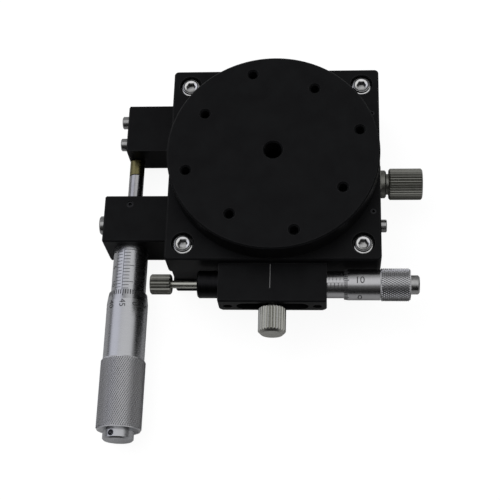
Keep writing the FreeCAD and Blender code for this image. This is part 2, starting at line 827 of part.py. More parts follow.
def coil(name, radius, wire, length, turns, at, axis):
    """A helical spring; its wire is a six-sided section, which keeps the surface light."""
    body = doc.addObject("PartDesign::Body", name)
    sketch = new_sketch(body, "XZ_Plane")
    corners = [(math.cos(turn * math.tau / 6), math.sin(turn * math.tau / 6)) for turn in range(6)]
    polygon(sketch, [(f"{radius} + ({wire})*({out:.6f})", f"({wire})*({up:.6f})") for out, up in corners])
    helix = body.newObject("PartDesign::AdditiveHelix", name + "_helix")
    helix.Profile = sketch
    helix.ReferenceAxis = (sketch, ["V_Axis"])
    helix.Mode = "height-turns-angle"
    helix.Turns = turns
    bind(helix, Height=length)
    return place(body, at, axis)


def make_return_spring():
    """The tension spring that draws the carriage back against the micrometer, and its two pins."""
    start = ("0", "-spring_front_pin + spring_start", "spring_height")
    parts = [coil("return_coil", "spring_radius", "spring_wire", "spring_length", SPRING_TURNS, start, "+Y")]
    for end_name, pin, toward in (("front", "-spring_front_pin", 1), ("rear", "spring_rear_pin", -1)):
        hook = doc.addObject("Part::Torus", f"{end_name}_spring_ring")
        bind(hook, Radius1="spring_ring", Radius2="spring_wire")
        place(hook, ("0", pin, "spring_height"))
        axis = "+Y" if toward > 0 else "-Y"
        leg_start = ("0", f"{pin} + {toward}*spring_ring", "spring_height")
        coil_end = ("0", f"{pin} + {toward}*spring_start", "spring_height")
        parts += [
            hook,
            rod(f"{end_name}_spring_leg", "1.2*spring_wire", "spring_leg", leg_start, axis),
            rod(f"{end_name}_spring_bar", "1.4*spring_wire", "spring_radius + spring_wire/2", coil_end, "+X"),
        ]
    node(fused("return_spring", parts), "return_spring")
    node(rod("fixed_spring_pin", "spring_pin_radius", "rail_top - inner_floor/2",
             ("0", "-spring_front_pin", "inner_floor/2")), "fixed_spring_pin")
    node(rod("moving_spring_pin", "spring_pin_radius", "inner_roof + pin_grip - spring_height + spring_ring",
             ("0", "spring_rear_pin", "spring_height - spring_ring")), "moving_spring_pin")
    node(set_screw("travel_stop_pin", "stop_radius", "recess_floor - rail_top + stop_depth - stop_clearance",
                   ("stop_offset", "0", "recess_floor"), "-Z"), "travel_stop_pin")


# Large micrometer and what it pushes


def make_bracket():
    """The block on the base's left that holds the large micrometer."""
    body = padded("bracket_blank", [
        ("-bracket_left", "bracket_foot"),
        ("-half_base", "bracket_foot"),
        ("-half_base", "base_height - edge_break"),
        ("-bracket_side", "base_height - edge_break"),
        ("-bracket_side", "bracket_top"),
        ("-bracket_left", "bracket_top"),
    ], "bracket_depth", ("0", "-bracket_back", "0"), "-Y")
    dress(body, "Chamfer", "edge_break", is_on_left_or_top)
    tools = [
        rod("stem_bore", "stem_radius + thread_clearance", "bracket_depth",
            ("-micrometer_offset", "-bracket_back", "micrometer_height"), "-Y"),
        rod("lock_screw_bore", "large_screw_radius + thread_clearance", "bracket_left - micrometer_offset",
            ("-bracket_left", "stem_screw_row", "micrometer_height"), "+X"),
        rod("top_screw_bore", "small_screw_radius + thread_clearance", "bracket_top - micrometer_height",
            ("-micrometer_offset", "-bracket_back - 2.7", "micrometer_height")),
    ]
    for number, row in enumerate(bracket_screw_rows()):
        tools.append(rod(f"bracket_tap_{number}", "medium_screw_radius + thread_clearance",
                         "screw_grip + hole_clearance", ("-half_base", row, "bracket_screw_height"), "-X"))
    node(cut("micrometer_bracket", body, tools), "micrometer_bracket")
    screws = [
        socket_screw(f"bracket_screw_{number}", "medium",
                     "half_base - trough_side - medium_head_height - head_clearance + screw_grip",
                     ("-(trough_side + medium_head_height + head_clearance)", row, "bracket_screw_height"),
                     "+X")
        for number, row in enumerate(bracket_screw_rows())
    ]
    node(group("bracket_screws", screws), "bracket_screws")
    node(socket_screw("stem_lock_screw", "low", "bracket_left - micrometer_offset - stem_radius - 0.1",
                      ("-bracket_left", "stem_screw_row", "micrometer_height"), "-X"), "stem_lock_screw")
    node(set_screw("bracket_set_screw", "small_screw_radius",
                   "bracket_top - micrometer_height - stem_radius - 0.4",
                   ("-micrometer_offset", "-bracket_back - 2.7", "bracket_top - 0.3"), "-Z"),
         "bracket_set_screw")


def make_micrometer():
    """The large micrometer; its parts are turned about an axis that runs out to the front."""
    at = ("-micrometer_offset", "-bracket_front", "micrometer_height")
    bore = "spindle_radius + running_clearance"
    node(turned("micrometer_sleeve", [
        (bore, "-stem_length"),
        ("stem_radius - edge_break", "-stem_length"),
        ("stem_radius", "-stem_length + edge_break"),
        ("stem_radius", "0"),
        ("barrel_radius", "0"),
        ("barrel_radius", "barrel_length"),
        (bore, "barrel_length"),
    ], at, "-Y"), "micrometer_sleeve")
    node(turned("spindle", [
        ("0", "-(bracket_depth + spindle_reach)"),
        ("spindle_radius - 0.2", "-(bracket_depth + spindle_reach)"),
        ("spindle_radius", "-(bracket_depth + spindle_reach) + 0.3"),
        ("spindle_radius", "cavity_end"),
        ("0", "cavity_end"),
    ], at, "-Y"), "spindle")
    node(turned("spindle_tip", [
        ("0", "-(bracket_depth + spindle_reach + tip_length)"),
        ("spindle_radius - 0.3", "-(bracket_depth + spindle_reach + tip_length)"),
        ("spindle_radius", "-(bracket_depth + spindle_reach + tip_length) + 0.3"),
        ("spindle_radius", "-(bracket_depth + spindle_reach)"),
        ("0", "-(bracket_depth + spindle_reach)"),
    ], at, "-Y"), "spindle_tip")
    node(turned("thimble", [
        ("thimble_bore", "exposed_barrel"),
        ("thimble_bore + thimble_edge", "exposed_barrel"),
        ("thimble_radius", "exposed_barrel + thimble_bevel"),
        ("thimble_radius", "grip_start"),
        ("inner_thimble_radius", "grip_start"),
        ("inner_thimble_radius", "grip_end"),
        ("0", "grip_end"),
        ("0", "cavity_end"),
        ("thimble_bore", "cavity_end"),
    ], at, "-Y"), "thimble")
    node(turned("thimble_grip", [
        ("inner_thimble_radius", "grip_start"),
        ("grip_radius - edge_break", "grip_start"),
        ("grip_radius", "grip_start + edge_break"),
        ("grip_radius", "grip_end - 2*edge_break"),
        ("grip_radius - 2*edge_break", "grip_end"),
        ("inner_thimble_radius", "grip_end"),
    ], at, "-Y"), "thimble_grip")
    cap = turned("cap_blank", [
        ("0", "grip_end"),
        ("cap_radius", "grip_end"),
        ("cap_radius", "grip_end + cap_length - edge_break"),
        ("cap_radius - edge_break", "grip_end + cap_length"),
        ("0", "grip_end + cap_length"),
    ], at, "-Y")
    hole = rod("cap_hole", "cap_hole_radius", "cap_radius + edge_break", (
        "-micrometer_offset", "-(bracket_front + grip_end + cap_length/2)", "micrometer_height"),
        FreeCAD.Rotation(AXES["+Y"], -SIZES["cap_hole_turn"]))
    node(cut("thimble_cap", cap, [hole]), "thimble_cap")


def make_anvil():
    """The block on the carriage's left that the spindle pushes, and its two screws."""
    body = padded("anvil_blank", [
        ("-anvil_left", "anvil_foot"),
        ("-anvil_side", "anvil_foot"),
        ("-anvil_side", "anvil_step"),
        ("-half_carriage", "anvil_step"),
        ("-half_carriage", "bracket_top"),
        ("-anvil_left", "bracket_top"),
    ], "anvil_depth", ("0", "anvil_front + anvil_depth", "0"), "-Y")
    dress(body, "Chamfer", "edge_break", is_on_left)
    holes = [
        rod(f"anvil_hole_{number}", "small_screw_radius + hole_clearance", "anvil_left - half_carriage",
            ("-anvil_left", row, "anvil_screw_height"), "+X")
        for number, row in enumerate(anvil_screw_rows())
    ]
    node(cut("anvil_block", body, holes), "anvil_block")
    screws = [
        socket_screw(f"anvil_screw_{number}", "small", "anvil_left - half_carriage + screw_grip",
                     ("-anvil_left", row, "anvil_screw_height"), "-X")
        for number, row in enumerate(anvil_screw_rows())
    ]
    node(group("anvil_screws", screws), "anvil_screws")


# Travel lock on the right


def make_travel_lock():
    """A plate on the base whose knob presses a pad on the carriage's side."""
    centre = "-lock_offset"
    plate = padded("lock_plate_blank", [
        ("-lock_plate_front", "lock_plate_foot"),
        ("lock_plate_back", "lock_plate_foot"),
        ("lock_plate_back", "lock_plate_top - lock_plate_corner"),
        ("lock_plate_back - lock_plate_corner", "lock_plate_top"),
        ("-(lock_plate_back + 2*lock_offset) + lock_plate_corner", "lock_plate_top"),
        ("-(lock_plate_back + 2*lock_offset)", "lock_plate_top - lock_plate_corner"),
        ("-(lock_plate_back + 2*lock_offset)", "lock_plate_step"),
        ("-lock_plate_front", "lock_plate_step"),
    ], "lock_plate_thickness", ("lock_inner", "0", "0"), "side")
    holes = [
        rod("lock_plate_bore", "lock_bush_neck_radius + thread_clearance", "lock_plate_thickness",
            ("lock_inner", centre, "lock_height"), "+X"),
        rod("lock_plate_screw_hole", "small_screw_radius + hole_clearance", "lock_plate_thickness",
            ("lock_inner", "-lock_screw_offset", "lock_screw_height"), "+X"),
        rod("lock_plate_dowel_hole", "lock_dowel_radius + thread_clearance", "lock_plate_thickness",
            ("lock_inner", "-lock_dowel_offset", "lock_screw_height"), "+X"),
    ]
    node(cut("lock_plate", plate, holes), "lock_plate")
    at = ("lock_outer", centre, "lock_height")
    bore = "lock_stud_radius + running_clearance"
    node(turned("lock_bush", [
        (bore, "-lock_plate_thickness + 0.1"),
        ("lock_bush_neck_radius", "-lock_plate_thickness + 0.1"),
        ("lock_bush_neck_radius", "0"),
        ("lock_bush_radius", "0"),
        ("lock_bush_radius", "lock_bush_flange - edge_break"),
        ("lock_bush_radius - edge_break", "lock_bush_flange"),
        (bore, "lock_bush_flange"),
    ], at, "+X"), "lock_bush")
    node(rod("lock_pad", "lock_stud_radius - running_clearance", "lock_pad_length",
             ("half_carriage + running_clearance", centre, "lock_height"), "+X"), "lock_pad")
    knob = turned("lock_knob", [
        ("0", "stud_tip"),
        ("lock_stud_radius", "stud_tip"),
        ("lock_stud_radius", "running_clearance"),
        ("lock_neck_radius", "running_clearance"),
        ("lock_neck_radius", "lock_neck_length"),
        ("lock_knob_radius - edge_break", "lock_neck_length"),
        ("lock_knob_radius", "lock_neck_length + edge_break"),
        ("lock_knob_radius", "lock_neck_length + lock_knob_length - edge_break"),
        ("lock_knob_radius - edge_break", "lock_neck_length + lock_knob_length"),
        ("0", "lock_neck_length + lock_knob_length"),
    ], ("lock_bush_outer", centre, "lock_height"), "+X")
    knurl(knob, "lock_knob_radius", "lock_neck_length", "lock_knob_length", 36)
    node(knob, "lock_knob")
    node(socket_screw("lock_plate_screw", "small", "lock_plate_thickness + screw_grip - head_clearance",
                      ("lock_outer", "-lock_screw_offset", "lock_screw_height"), "+X"), "lock_plate_screw")
    node(rod("lock_plate_dowel", "lock_dowel_radius", "lock_plate_thickness + pin_grip",
             ("lock_outer", "-lock_dowel_offset", "lock_screw_height"), "-X"), "lock_plate_dowel")


# Rotation unit


def make_rotation_body():
    """The square body: bearing seat, arm cavity and window, and four counterbored screw holes."""
    corners = ((1, 1), (-1, 1), (-1, -1), (1, -1))
    square = [(f"{across}*half_body", f"{along}*half_body") for across, along in corners]
    body = padded("body_blank", square, "body_height", ("0", "0", "stage_height"))
    dress(body, "Fillet", "corner_radius", is_upright)
    dress(body, "Chamfer", "edge_break", is_on_end)
    tools = [
        rod("bearing_seat", "bearing_outside + thread_clearance", "bearing_height",
            ("0", "0", "bearing_bottom")),
        rod("arm_cavity", "ring_cavity", "body_height", ("0", "0", "stage_height")),
        block("arm_window", ("2*body_window", "half_body", "ring_cavity_top - stage_height"),
              ("-body_window", "-half_body", "stage_height")),
    ]
    for side_name, side in (("left", -1), ("right", 1)):
        tools.append(rod(f"{side_name}_block_tap", "small_screw_radius + thread_clearance",
                         "screw_grip + head_clearance",
                         (f"{side}*block_screw_spacing/2", "-half_body", "fine_axis"), "+Y"))
        for end in (-1, 1):
            name = f"{side_name}_corner_{end + 1}"
            place_xy = (f"{side}*corner_square/2", f"{end}*corner_square/2")
            tools.append(rod(name, "large_screw_radius + hole_clearance", "body_height",
                             (*place_xy, "stage_height")))
            tools.append(rod(name + "_head", "body_counterbore_radius", "body_counterbore_depth",
                             (*place_xy, "body_top - body_counterbore_depth")))
    for end_name, end in (("front", -1), ("rear", 1)):
        tools.append(rod(f"{end_name}_side_tap", "side_tap_radius", "side_tap_depth", (
            "side_tap_offset", f"{end}*side_tap_spacing/2", "body_top - side_tap_depth")))
    node(cut("rotation_body", body, tools), "rotation_body")
    plugs = [
        set_screw(f"side_plug_{end + 1}", "side_tap_radius - thread_clearance", "side_tap_depth - 1",
                  ("side_tap_offset", f"{end}*side_tap_spacing/2", "body_top - 0.15"), "-Z")
        for end in (-1, 1)
    ]
    node(group("side_plugs", plugs), "side_plugs")
    screws = []
    for side in (-1, 1):
        for end in (-1, 1):
            screws.append(socket_screw(f"body_screw_{side + 1}_{end + 1}", "large",
                                       "body_height - body_counterbore_depth + screw_grip", (
                f"{side}*corner_square/2", f"{end}*corner_square/2",
                "body_top - body_counterbore_depth"), "+Z"))
    node(group("body_screws", screws), "body_screws")


def make_bearing():
    """A bearing with crossed rollers between two grooved rings."""
    low = "bearing_bottom"
    high = "body_top"
    node(turned("bearing_outer_ring", [
        ("outer_race", low),
        ("bearing_outside", low),
        ("bearing_outside", high),
        ("outer_race", high),
        ("outer_race", "bearing_axis + groove_depth"),
        ("outer_race + groove_depth", "bearing_axis"),
        ("outer_race", "bearing_axis - groove_depth"),
    ]), "bearing_outer_ring")
    node(turned("bearing_inner_ring", [
        ("hub_radius + thread_clearance", low),
        ("inner_race", low),
        ("inner_race", "bearing_axis - groove_depth"),
        ("inner_race - groove_depth", "bearing_axis"),
        ("inner_race", "bearing_axis + groove_depth"),
        ("inner_race", high),
        ("hub_radius + thread_clearance", high),
    ]), "bearing_inner_ring")
    rollers = []
    windows = []
    for number in range(BEARING_ROLLERS):
        around = math.tau * number / BEARING_ROLLERS
        rollers.append(tilted_roller(f"bearing_roller_{number}", (-1) ** number, around, "bearing_centre",
                                     "bearing_axis"))
        window = doc.addObject("Part::Cylinder", f"bearing_window_{number}")
        bind(window, Radius="cage_hole_radius", Height="4*cage_thickness")
        inner = "(bearing_centre - 2*cage_thickness)"
        place(window, (f"{inner}*{math.cos(around):.9f}", f"{inner}*{math.sin(around):.9f}", "bearing_axis"),
              FreeCAD.Rotation(AXES["+Z"], math.degrees(around)) * TURNS["+X"])
        windows.append(window)
    node(group("bearing_rollers", rollers), "bearing_rollers")
    half = "bearing_cage_height/2"
    cage = turned("bearing_cage_blank", [
        ("bearing_centre - cage_thickness/2", f"bearing_axis - {half}"),
        ("bearing_centre + cage_thickness/2", f"bearing_axis - {half}"),
        ("bearing_centre + cage_thickness/2", f"bearing_axis + {half}"),
        ("bearing_centre - cage_thickness/2", f"bearing_axis + {half}"),
    ])
    node(cut("bearing_cage", cage, windows), "bearing_cage")


def table_hole_places():
    """The angle and the radius of each tapped hole: a square pattern and a circle, turned together."""
    for quarter in range(4):
        yield f"table_turn + {QUARTER / 2 + quarter * QUARTER:g}", f"inner_hole_square*{ROOT_HALF}"
        yield f"table_turn + {quarter * QUARTER:g}", "outer_hole_radius"


def make_turntable():
    """The round table, recessed below for its hub, and the hub that the bearing's inner ring sits on."""
    body = turned("table_blank", [
        ("table_bore_radius", "table_top"),
        ("table_radius - edge_break", "table_top"),
        ("table_radius", "table_top - edge_break"),
        ("table_radius", "table_bottom + edge_break"),
        ("table_radius - edge_break", "table_bottom"),
        ("hub_flange_radius + thread_clearance", "table_bottom"),
        ("hub_flange_radius + thread_clearance", "hub_top"),
        ("hub_bore_radius", "hub_top"),
        ("hub_bore_radius", "table_top - table_floor"),
        ("table_bore_radius", "table_top - table_floor"),
    ])
    hub = turned("hub_blank", [
        ("hub_bore_radius", "hub_top"),
        ("hub_flange_radius", "hub_top"),
        ("hub_flange_radius", "body_top"),
        ("hub_radius", "body_top"),
        ("hub_radius", "hub_bottom"),
        ("hub_bore_radius", "hub_bottom"),
    ])
    tools = []
    hub_holes = []
    for number, (angle, radius) in enumerate(table_hole_places()):
        across = f"({radius})*cos({angle})"
        along = f"({radius})*sin({angle})"
        tools.append(rod(f"table_tap_{number}", "tap_radius", "tap_depth",
                         (across, along, "table_top - tap_depth")))
        tools.append(funnel(f"table_mouth_{number}", "tap_mouth_radius", "tap_radius",
                            "tap_mouth_radius - tap_radius", (across, along, "table_top"), "-Z"))
    tools.append(funnel("table_bore_mouth", "table_bore_radius + edge_break", "table_bore_radius",
                        "edge_break", ("0", "0", "table_top"), "-Z"))
    for number, (across, along) in enumerate(retainer_screw_places()):
        tools.append(rod(f"table_hub_tap_{number}", "small_screw_radius + thread_clearance", "retainer_grip",
                         (across, along, "hub_top")))
        hub_holes.append(rod(f"hub_hole_{number}", "small_screw_radius + hole_clearance",
                             "hub_top - hub_bottom", (across, along, "hub_bottom")))
    node(cut("turntable", body, tools), "turntable")
    node(cut("hub", hub, hub_holes), "hub")


def retainer_screw_places():
    """Three places round the hub's end."""
    reach = "(hub_radius + hub_bore_radius)/2"
    for third in range(3):
        around = math.tau * third / 3
        yield f"{reach}*{math.cos(around):.9f}", f"{reach}*{math.sin(around):.9f}"


def make_retainer():
    """The ring under the hub that keeps the clamp ring up, and its screws."""
    ring = turned("retainer_blank", [
        ("hub_bore_radius", "retainer_bottom"),
        ("retainer_radius", "retainer_bottom"),
        ("retainer_radius", "hub_bottom"),
        ("hub_bore_radius", "hub_bottom"),
    ])
    tools = []
    screws = []
    head = "small_head_height/2"
    for number, (across, along) in enumerate(retainer_screw_places()):
        at = (across, along, f"retainer_bottom + {head}")
        tools.append(rod(f"retainer_hole_{number}", "small_screw_radius + hole_clearance", "retainer_height",
                         (across, along, "retainer_bottom")))
        tools.append(rod(f"retainer_head_{number}", "small_head_radius + head_clearance", head,
                         (across, along, "retainer_bottom")))
        blank = turned(f"retainer_screw_{number}_blank", [
            ("0", "-retainer_screw_length"),
            ("small_screw_radius", "-retainer_screw_length"),
            ("small_screw_radius", "0"),
            ("small_head_radius", "0"),
            ("small_head_radius", head),
            ("0", head),
        ], at, "-Z")
        key = doc.addObject("Part::Prism", f"retainer_screw_{number}_key")
        key.Polygon = 6
        bind(key, Circumradius="small_socket", Height=head)
        place(key, (across, along, f"retainer_bottom + {head}/2"), "-Z")
        screws.append(cut(f"retainer_screw_{number}", blank, [key]))
    node(cut("retaining_ring", ring, tools), "retaining_ring")
    node(group("retaining_screws", screws), "retaining_screws")


def make_clamp_ring():
    """The ring round the hub with its tangent arm, and the brass pad that grips the hub."""
    ring = rod("clamp_ring_disc", "clamp_ring_radius", "arm_height", ("0", "0", "arm_bottom"))
    arm = block("clamp_arm", ("arm_width", "arm_reach - hub_radius", "arm_height"),
                ("-half_arm", "-arm_reach", "arm_bottom"))
    tools = [
        rod("hub_hole", "hub_radius + running_clearance", "arm_height", ("0", "0", "arm_bottom")),
        rod("stud_hole", "clamp_stud_radius + thread_clearance", "arm_reach",
            ("0", "0", "fine_axis"), "-Y"),
    ]
    node(cut("clamp_ring", fused("clamp_ring_form", [ring, arm]), tools), "clamp_ring")
    node(rod("clamp_pad", "clamp_stud_radius", "clamp_pad_length",
             ("0", "-clamp_pad_start", "fine_axis"), "-Y"), "clamp_pad")


def make_clamp_knob():
    """The knurled knob and stud that tighten the clamp pad."""
    knob = turned("clamp_knob", [
        ("0", "-stud_length"),
        ("clamp_stud_radius", "-stud_length"),
        ("clamp_stud_radius", "0"),
        ("clamp_knob_radius - edge_break", "0"),
        ("clamp_knob_radius", "edge_break"),
        ("clamp_knob_radius", "clamp_knob_length - clamp_knob_chamfer"),
        ("clamp_knob_radius - clamp_knob_chamfer", "clamp_knob_length"),
        ("0", "clamp_knob_length"),
    ], ("0", "-clamp_knob_start", "fine_axis"), "-Y")
    knurl(knob, "clamp_knob_radius", "0", "clamp_knob_length", 26)
    node(knob, "clamp_knob")


# Fine adjustment


def make_fine_block():
    """The block in front of the body: a wide slot for the arm, and a bore from each side."""
    body = padded("fine_block_blank", mirrored([
        ("half_block", "block_top"),
        ("half_block", "block_bottom + block_corner"),
        ("half_block - block_corner", "block_bottom"),
    ]), "block_depth", ("0", "-half_body", "0"), "-Y")
    dress(body, "Chamfer", "edge_break", is_on_end)
    tools = [
        centred_block("slot_middle",
                      ("slot_width - 2*slot_radius", "block_depth - block_back_wall", "2*slot_radius"),
                      ("0", "-(slot_back + block_front)/2", "fine_axis")),
        centred_block("back_window", ("2*block_window", "block_back_wall", "2*slot_radius"),
                      ("0", "-(half_body + slot_back)/2", "fine_axis")),
        rod("stem_hole", "fine_stem_radius + thread_clearance", "half_block",
            ("0.9*half_slot", "-fine_radius", "fine_axis"), "+X"),
        rod("bush_hole", "fine_stem_radius + thread_clearance", "half_block",
            ("-0.9*half_slot", "-fine_radius", "fine_axis"), "-X"),
    ]
    screws = []
    set_screws = []
    for side_name, side in (("left", -1), ("right", 1)):
        tools.append(rod(f"{side_name}_slot_end", "slot_radius", "block_depth - block_back_wall",
                         (f"{side}*(half_slot - slot_radius)", "-slot_back", "fine_axis"), "-Y"))
        across = f"{side}*block_screw_spacing/2"
        seat = (across, "-block_screw_seat", "fine_axis")
        tools.append(rod(f"{side_name}_block_hole", "small_screw_radius + hole_clearance", "block_back_wall",
                         (across, "-half_body", "fine_axis"), "-Y"))
        tools.append(rod(f"{side_name}_block_seat", "flat_head_radius + head_clearance",
                         "2*block_screw_sink", seat, "-Y"))
        screws.append(socket_screw(f"{side_name}_block_screw", "flat",
                                   "block_screw_seat - half_body + screw_grip", seat, "-Y"))
        grub = f"{side}*set_screw_spacing/2"
        tools.append(rod(f"{side_name}_grub_hole", "tap_radius + thread_clearance",
                         "block_front - fine_radius", (grub, "-block_front", "fine_axis"), "+Y"))
        set_screws.append(set_screw(f"{side_name}_grub", "tap_radius",
                                    "block_front - fine_radius - fine_stem_radius - 1",
                                    (grub, "-block_front + 0.8", "fine_axis"), "+Y"))
    node(cut("fine_block", body, tools), "fine_block")
    node(group("fine_block_screws", screws), "fine_block_screws")
    node(group("fine_block_set_screws", set_screws), "fine_block_set_screws")


def nose(radius):
    """The rounded end that touches the arm's side."""
    return [
        ("0", "fine_contact"),
        (f"0.25*{radius}", "fine_contact"),
        (f"0.6*{radius}", f"fine_contact + 0.12*{radius}"),
        (f"0.85*{radius}", f"fine_contact + 0.3*{radius}"),
        (radius, f"fine_contact + 0.55*{radius}"),
    ]


def make_fine_micrometer():
    """The small micrometer on the right of the block, turned about the X axis."""
    at = ("0", "-fine_radius", "fine_axis")
    node(turned("fine_sleeve", [
        ("fine_bore", "half_slot + 0.3"),
        ("fine_stem_radius", "half_slot + 0.3"),
        ("fine_stem_radius", "half_block"),
        ("fine_barrel_radius", "half_block"),
        ("fine_barrel_radius", "half_block + fine_barrel_length"),
        ("fine_bore", "half_block + fine_barrel_length"),
    ], at, "+X"), "fine_sleeve")
    node(turned("fine_tip", nose("fine_spindle_radius*0.8") + [
        ("fine_spindle_radius*0.8", "fine_contact + fine_tip_length"),
        ("0", "fine_contact + fine_tip_length"),
    ], at, "+X"), "fine_tip")
    node(turned("fine_spindle", [
        ("0", "fine_contact + fine_tip_length"),
        ("fine_spindle_radius", "fine_contact + fine_tip_length"),
        ("fine_spindle_radius", "fine_cavity_end"),
        ("0", "fine_cavity_end"),
    ], at, "+X"), "fine_spindle")
    node(turned("fine_thimble", [
        ("fine_thimble_bore", "fine_edge"),
        ("fine_thimble_bore + edge_break/2", "fine_edge"),
        ("fine_thimble_radius", "fine_edge + fine_bevel"),
        ("fine_thimble_radius", "fine_grip_start"),
        ("fine_thimble_radius - edge_break/2", "fine_grip_start"),
        ("fine_thimble_radius - edge_break/2", "fine_cap_start"),
        ("0", "fine_cap_start"),
        ("0", "fine_cavity_end"),
        ("fine_thimble_bore", "fine_cavity_end"),
    ], at, "+X"), "fine_thimble")
    node(turned("fine_grip", [
        ("fine_thimble_radius - edge_break/2", "fine_grip_start"),
        ("fine_grip_radius - edge_break", "fine_grip_start"),
        ("fine_grip_radius", "fine_grip_start + edge_break"),
        ("fine_grip_radius", "fine_cap_start - edge_break"),
        ("fine_grip_radius - edge_break", "fine_cap_start"),
        ("fine_thimble_radius - edge_break/2", "fine_cap_start"),
    ], at, "+X"), "fine_grip")
    cap = turned("fine_cap_blank", [
        ("0", "fine_cap_start"),
        ("fine_cap_radius", "fine_cap_start"),
        ("fine_cap_radius", "fine_cap_start + fine_cap_length - edge_break"),
        ("fine_cap_radius - edge_break", "fine_cap_start + fine_cap_length"),
        ("0", "fine_cap_start + fine_cap_length"),
    ], at, "+X")
    hole = rod("fine_cap_hole", "fine_cap_hole_radius", "fine_cap_radius + edge_break", (
        "fine_cap_start + fine_cap_length/2", "-fine_radius", "fine_axis"),
        FreeCAD.Rotation(AXES["+X"], SIZES["fine_cap_hole_turn"]))
    node(cut("fine_cap", cap, [hole]), "fine_cap")


def make_plunger():
    """The spring plunger that pushes the arm back from the left."""
    at = ("0", "-fine_radius", "fine_axis")
    chamber = "plunger_radius + 2*running_clearance"
    node(turned("plunger_bush", [
        (chamber, "half_slot + 0.3"),
        ("fine_stem_radius", "half_slot + 0.3"),
        ("fine_stem_radius", "half_block"),
        ("bush_radius", "half_block"),
        ("bush_radius", "bush_outer - edge_break"),
        ("bush_radius - edge_break", "bush_outer"),
        ("plunger_rod_radius + running_clearance", "bush_outer"),
        ("plunger_rod_radius + running_clearance", "chamber_end"),
        (chamber, "chamber_end"),
    ], at, "-X"), "plunger_bush")
    node(turned("plunger_pin", nose("plunger_radius") + [
        ("plunger_radius", "plunger_back"),
        ("plunger_rod_radius", "plunger_back"),
        ("plunger_rod_radius", "plunger_knob_start"),
        ("0", "plunger_knob_start"),
    ], at, "-X"), "plunger_pin")
    knob = turned("plunger_knob", [
        ("0", "plunger_knob_start"),
        ("plunger_knob_radius - edge_break", "plunger_knob_start"),
        ("plunger_knob_radius", "plunger_knob_start + edge_break"),
        ("plunger_knob_radius", "plunger_knob_start + plunger_knob_length - edge_break"),
        ("plunger_knob_radius - edge_break", "plunger_knob_start + plunger_knob_length"),
        ("0", "plunger_knob_start + plunger_knob_length"),
    ], at, "-X")
    knurl(knob, "plunger_knob_radius", "plunger_knob_start", "plunger_knob_length", 16)
    node(knob, "plunger_knob")
    start = ("-(plunger_back + plunger_spring_wire + running_clearance)", "-fine_radius", "fine_axis")
    node(coil("plunger_spring", "plunger_spring_radius", "plunger_spring_wire",
              "chamber_end - plunger_back - 2*(plunger_spring_wire + running_clearance)",
              PLUNGER_SPRING_TURNS, start, "-X"), "plunger_spring")


def check_model():
    """Stop on any failed feature, empty shape or cut that removes nothing."""
    for thing in doc.Objects:
        if {"Invalid", "Error"} & set(thing.State):
            raise RuntimeError(f"{thing.Label} failed: {thing.State}")
        if thing.TypeId == "Part::Cut" and thing.Shape.Volume > thing.Base.Shape.Volume - 1e-6:
            raise RuntimeError(f"{thing.Label} cuts nothing")
    for thing in nodes:
        if thing.Shape.isNull() or not thing.Shape.isValid():
            raise RuntimeError(f"{thing.Label} has no valid shape")


make_sheet()
make_base()
make_carriage()
make_rails()
make_roller_cages()
make_rail_screws()
make_return_spring()
make_bracket()
make_micrometer()
make_anvil()
make_travel_lock()
make_rotation_body()
make_bearing()
make_turntable()
make_retainer()
make_clamp_ring()
make_clamp_knob()
make_fine_block()
make_fine_micrometer()
make_plunger()
doc.recompute()
check_model()
os.makedirs("parts", exist_ok=True)
for part in nodes:
    part.Shape.exportStep(f"parts/{part.Label}.step")
print(len(nodes), "sub-parts written")
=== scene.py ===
import math

import bmesh
import bpy
from mathutils import Matrix, Vector


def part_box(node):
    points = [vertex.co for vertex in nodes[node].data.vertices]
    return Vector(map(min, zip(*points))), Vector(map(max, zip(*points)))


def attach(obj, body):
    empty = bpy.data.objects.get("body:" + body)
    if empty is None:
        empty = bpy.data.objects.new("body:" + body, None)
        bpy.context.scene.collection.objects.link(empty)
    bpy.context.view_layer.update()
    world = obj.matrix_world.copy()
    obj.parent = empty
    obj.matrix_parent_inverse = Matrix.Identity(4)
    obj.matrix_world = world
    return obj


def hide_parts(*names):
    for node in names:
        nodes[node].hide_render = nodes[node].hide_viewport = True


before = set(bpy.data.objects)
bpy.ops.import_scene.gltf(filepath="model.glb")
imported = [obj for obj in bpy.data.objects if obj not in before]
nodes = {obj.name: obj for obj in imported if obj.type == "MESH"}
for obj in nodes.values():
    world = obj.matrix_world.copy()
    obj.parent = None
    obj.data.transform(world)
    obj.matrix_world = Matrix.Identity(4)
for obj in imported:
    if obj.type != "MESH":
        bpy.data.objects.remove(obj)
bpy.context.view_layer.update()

MM = 0.001

SMOOTH_ANGLE = 52           # degrees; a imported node's steeper edges stay sharp
KNURL_SMOOTH_ANGLE = 24
KNURL_BEVEL = 0.5 * MM      # where a knurl's teeth run out at its ends
KNURL_STEPS = 4             # mesh steps for each tooth
INK_LIFT = 0.012 * MM       # how far the ink stands above the metal
INK_DEPTH = 0.05 * MM       # and how far it reaches into it
STRIP_STEP = 0.25 * MM      # longest straight piece of a mark that bends round a sleeve
FONT_SIZE = 1.38            # font size for a digit one high
NUMBER_SLICES = 14          # strips that a number is cut into, to follow the curve
MARK_HALF = 0.09 * MM       # half the width of a full millimetre's mark
MIDDLE_HALF = 0.08 * MM     # and of the half millimetre's mark
THIMBLE_MARK_HALF = 0.13 * MM
LARGE_READING = 12.44 * MM  # what each micrometer reads in the photograph
FINE_READING = 5.59 * MM
THIMBLE_EXTRA = 1.7 * MM    # how much nearer the block the photograph's fine thimble reaches than the solid
# width of the lighter band along anodised edges: partly wear, partly a painted highlight on the chamfers
EDGE_WEAR_AND_HIGHLIGHT = 0.22 * MM


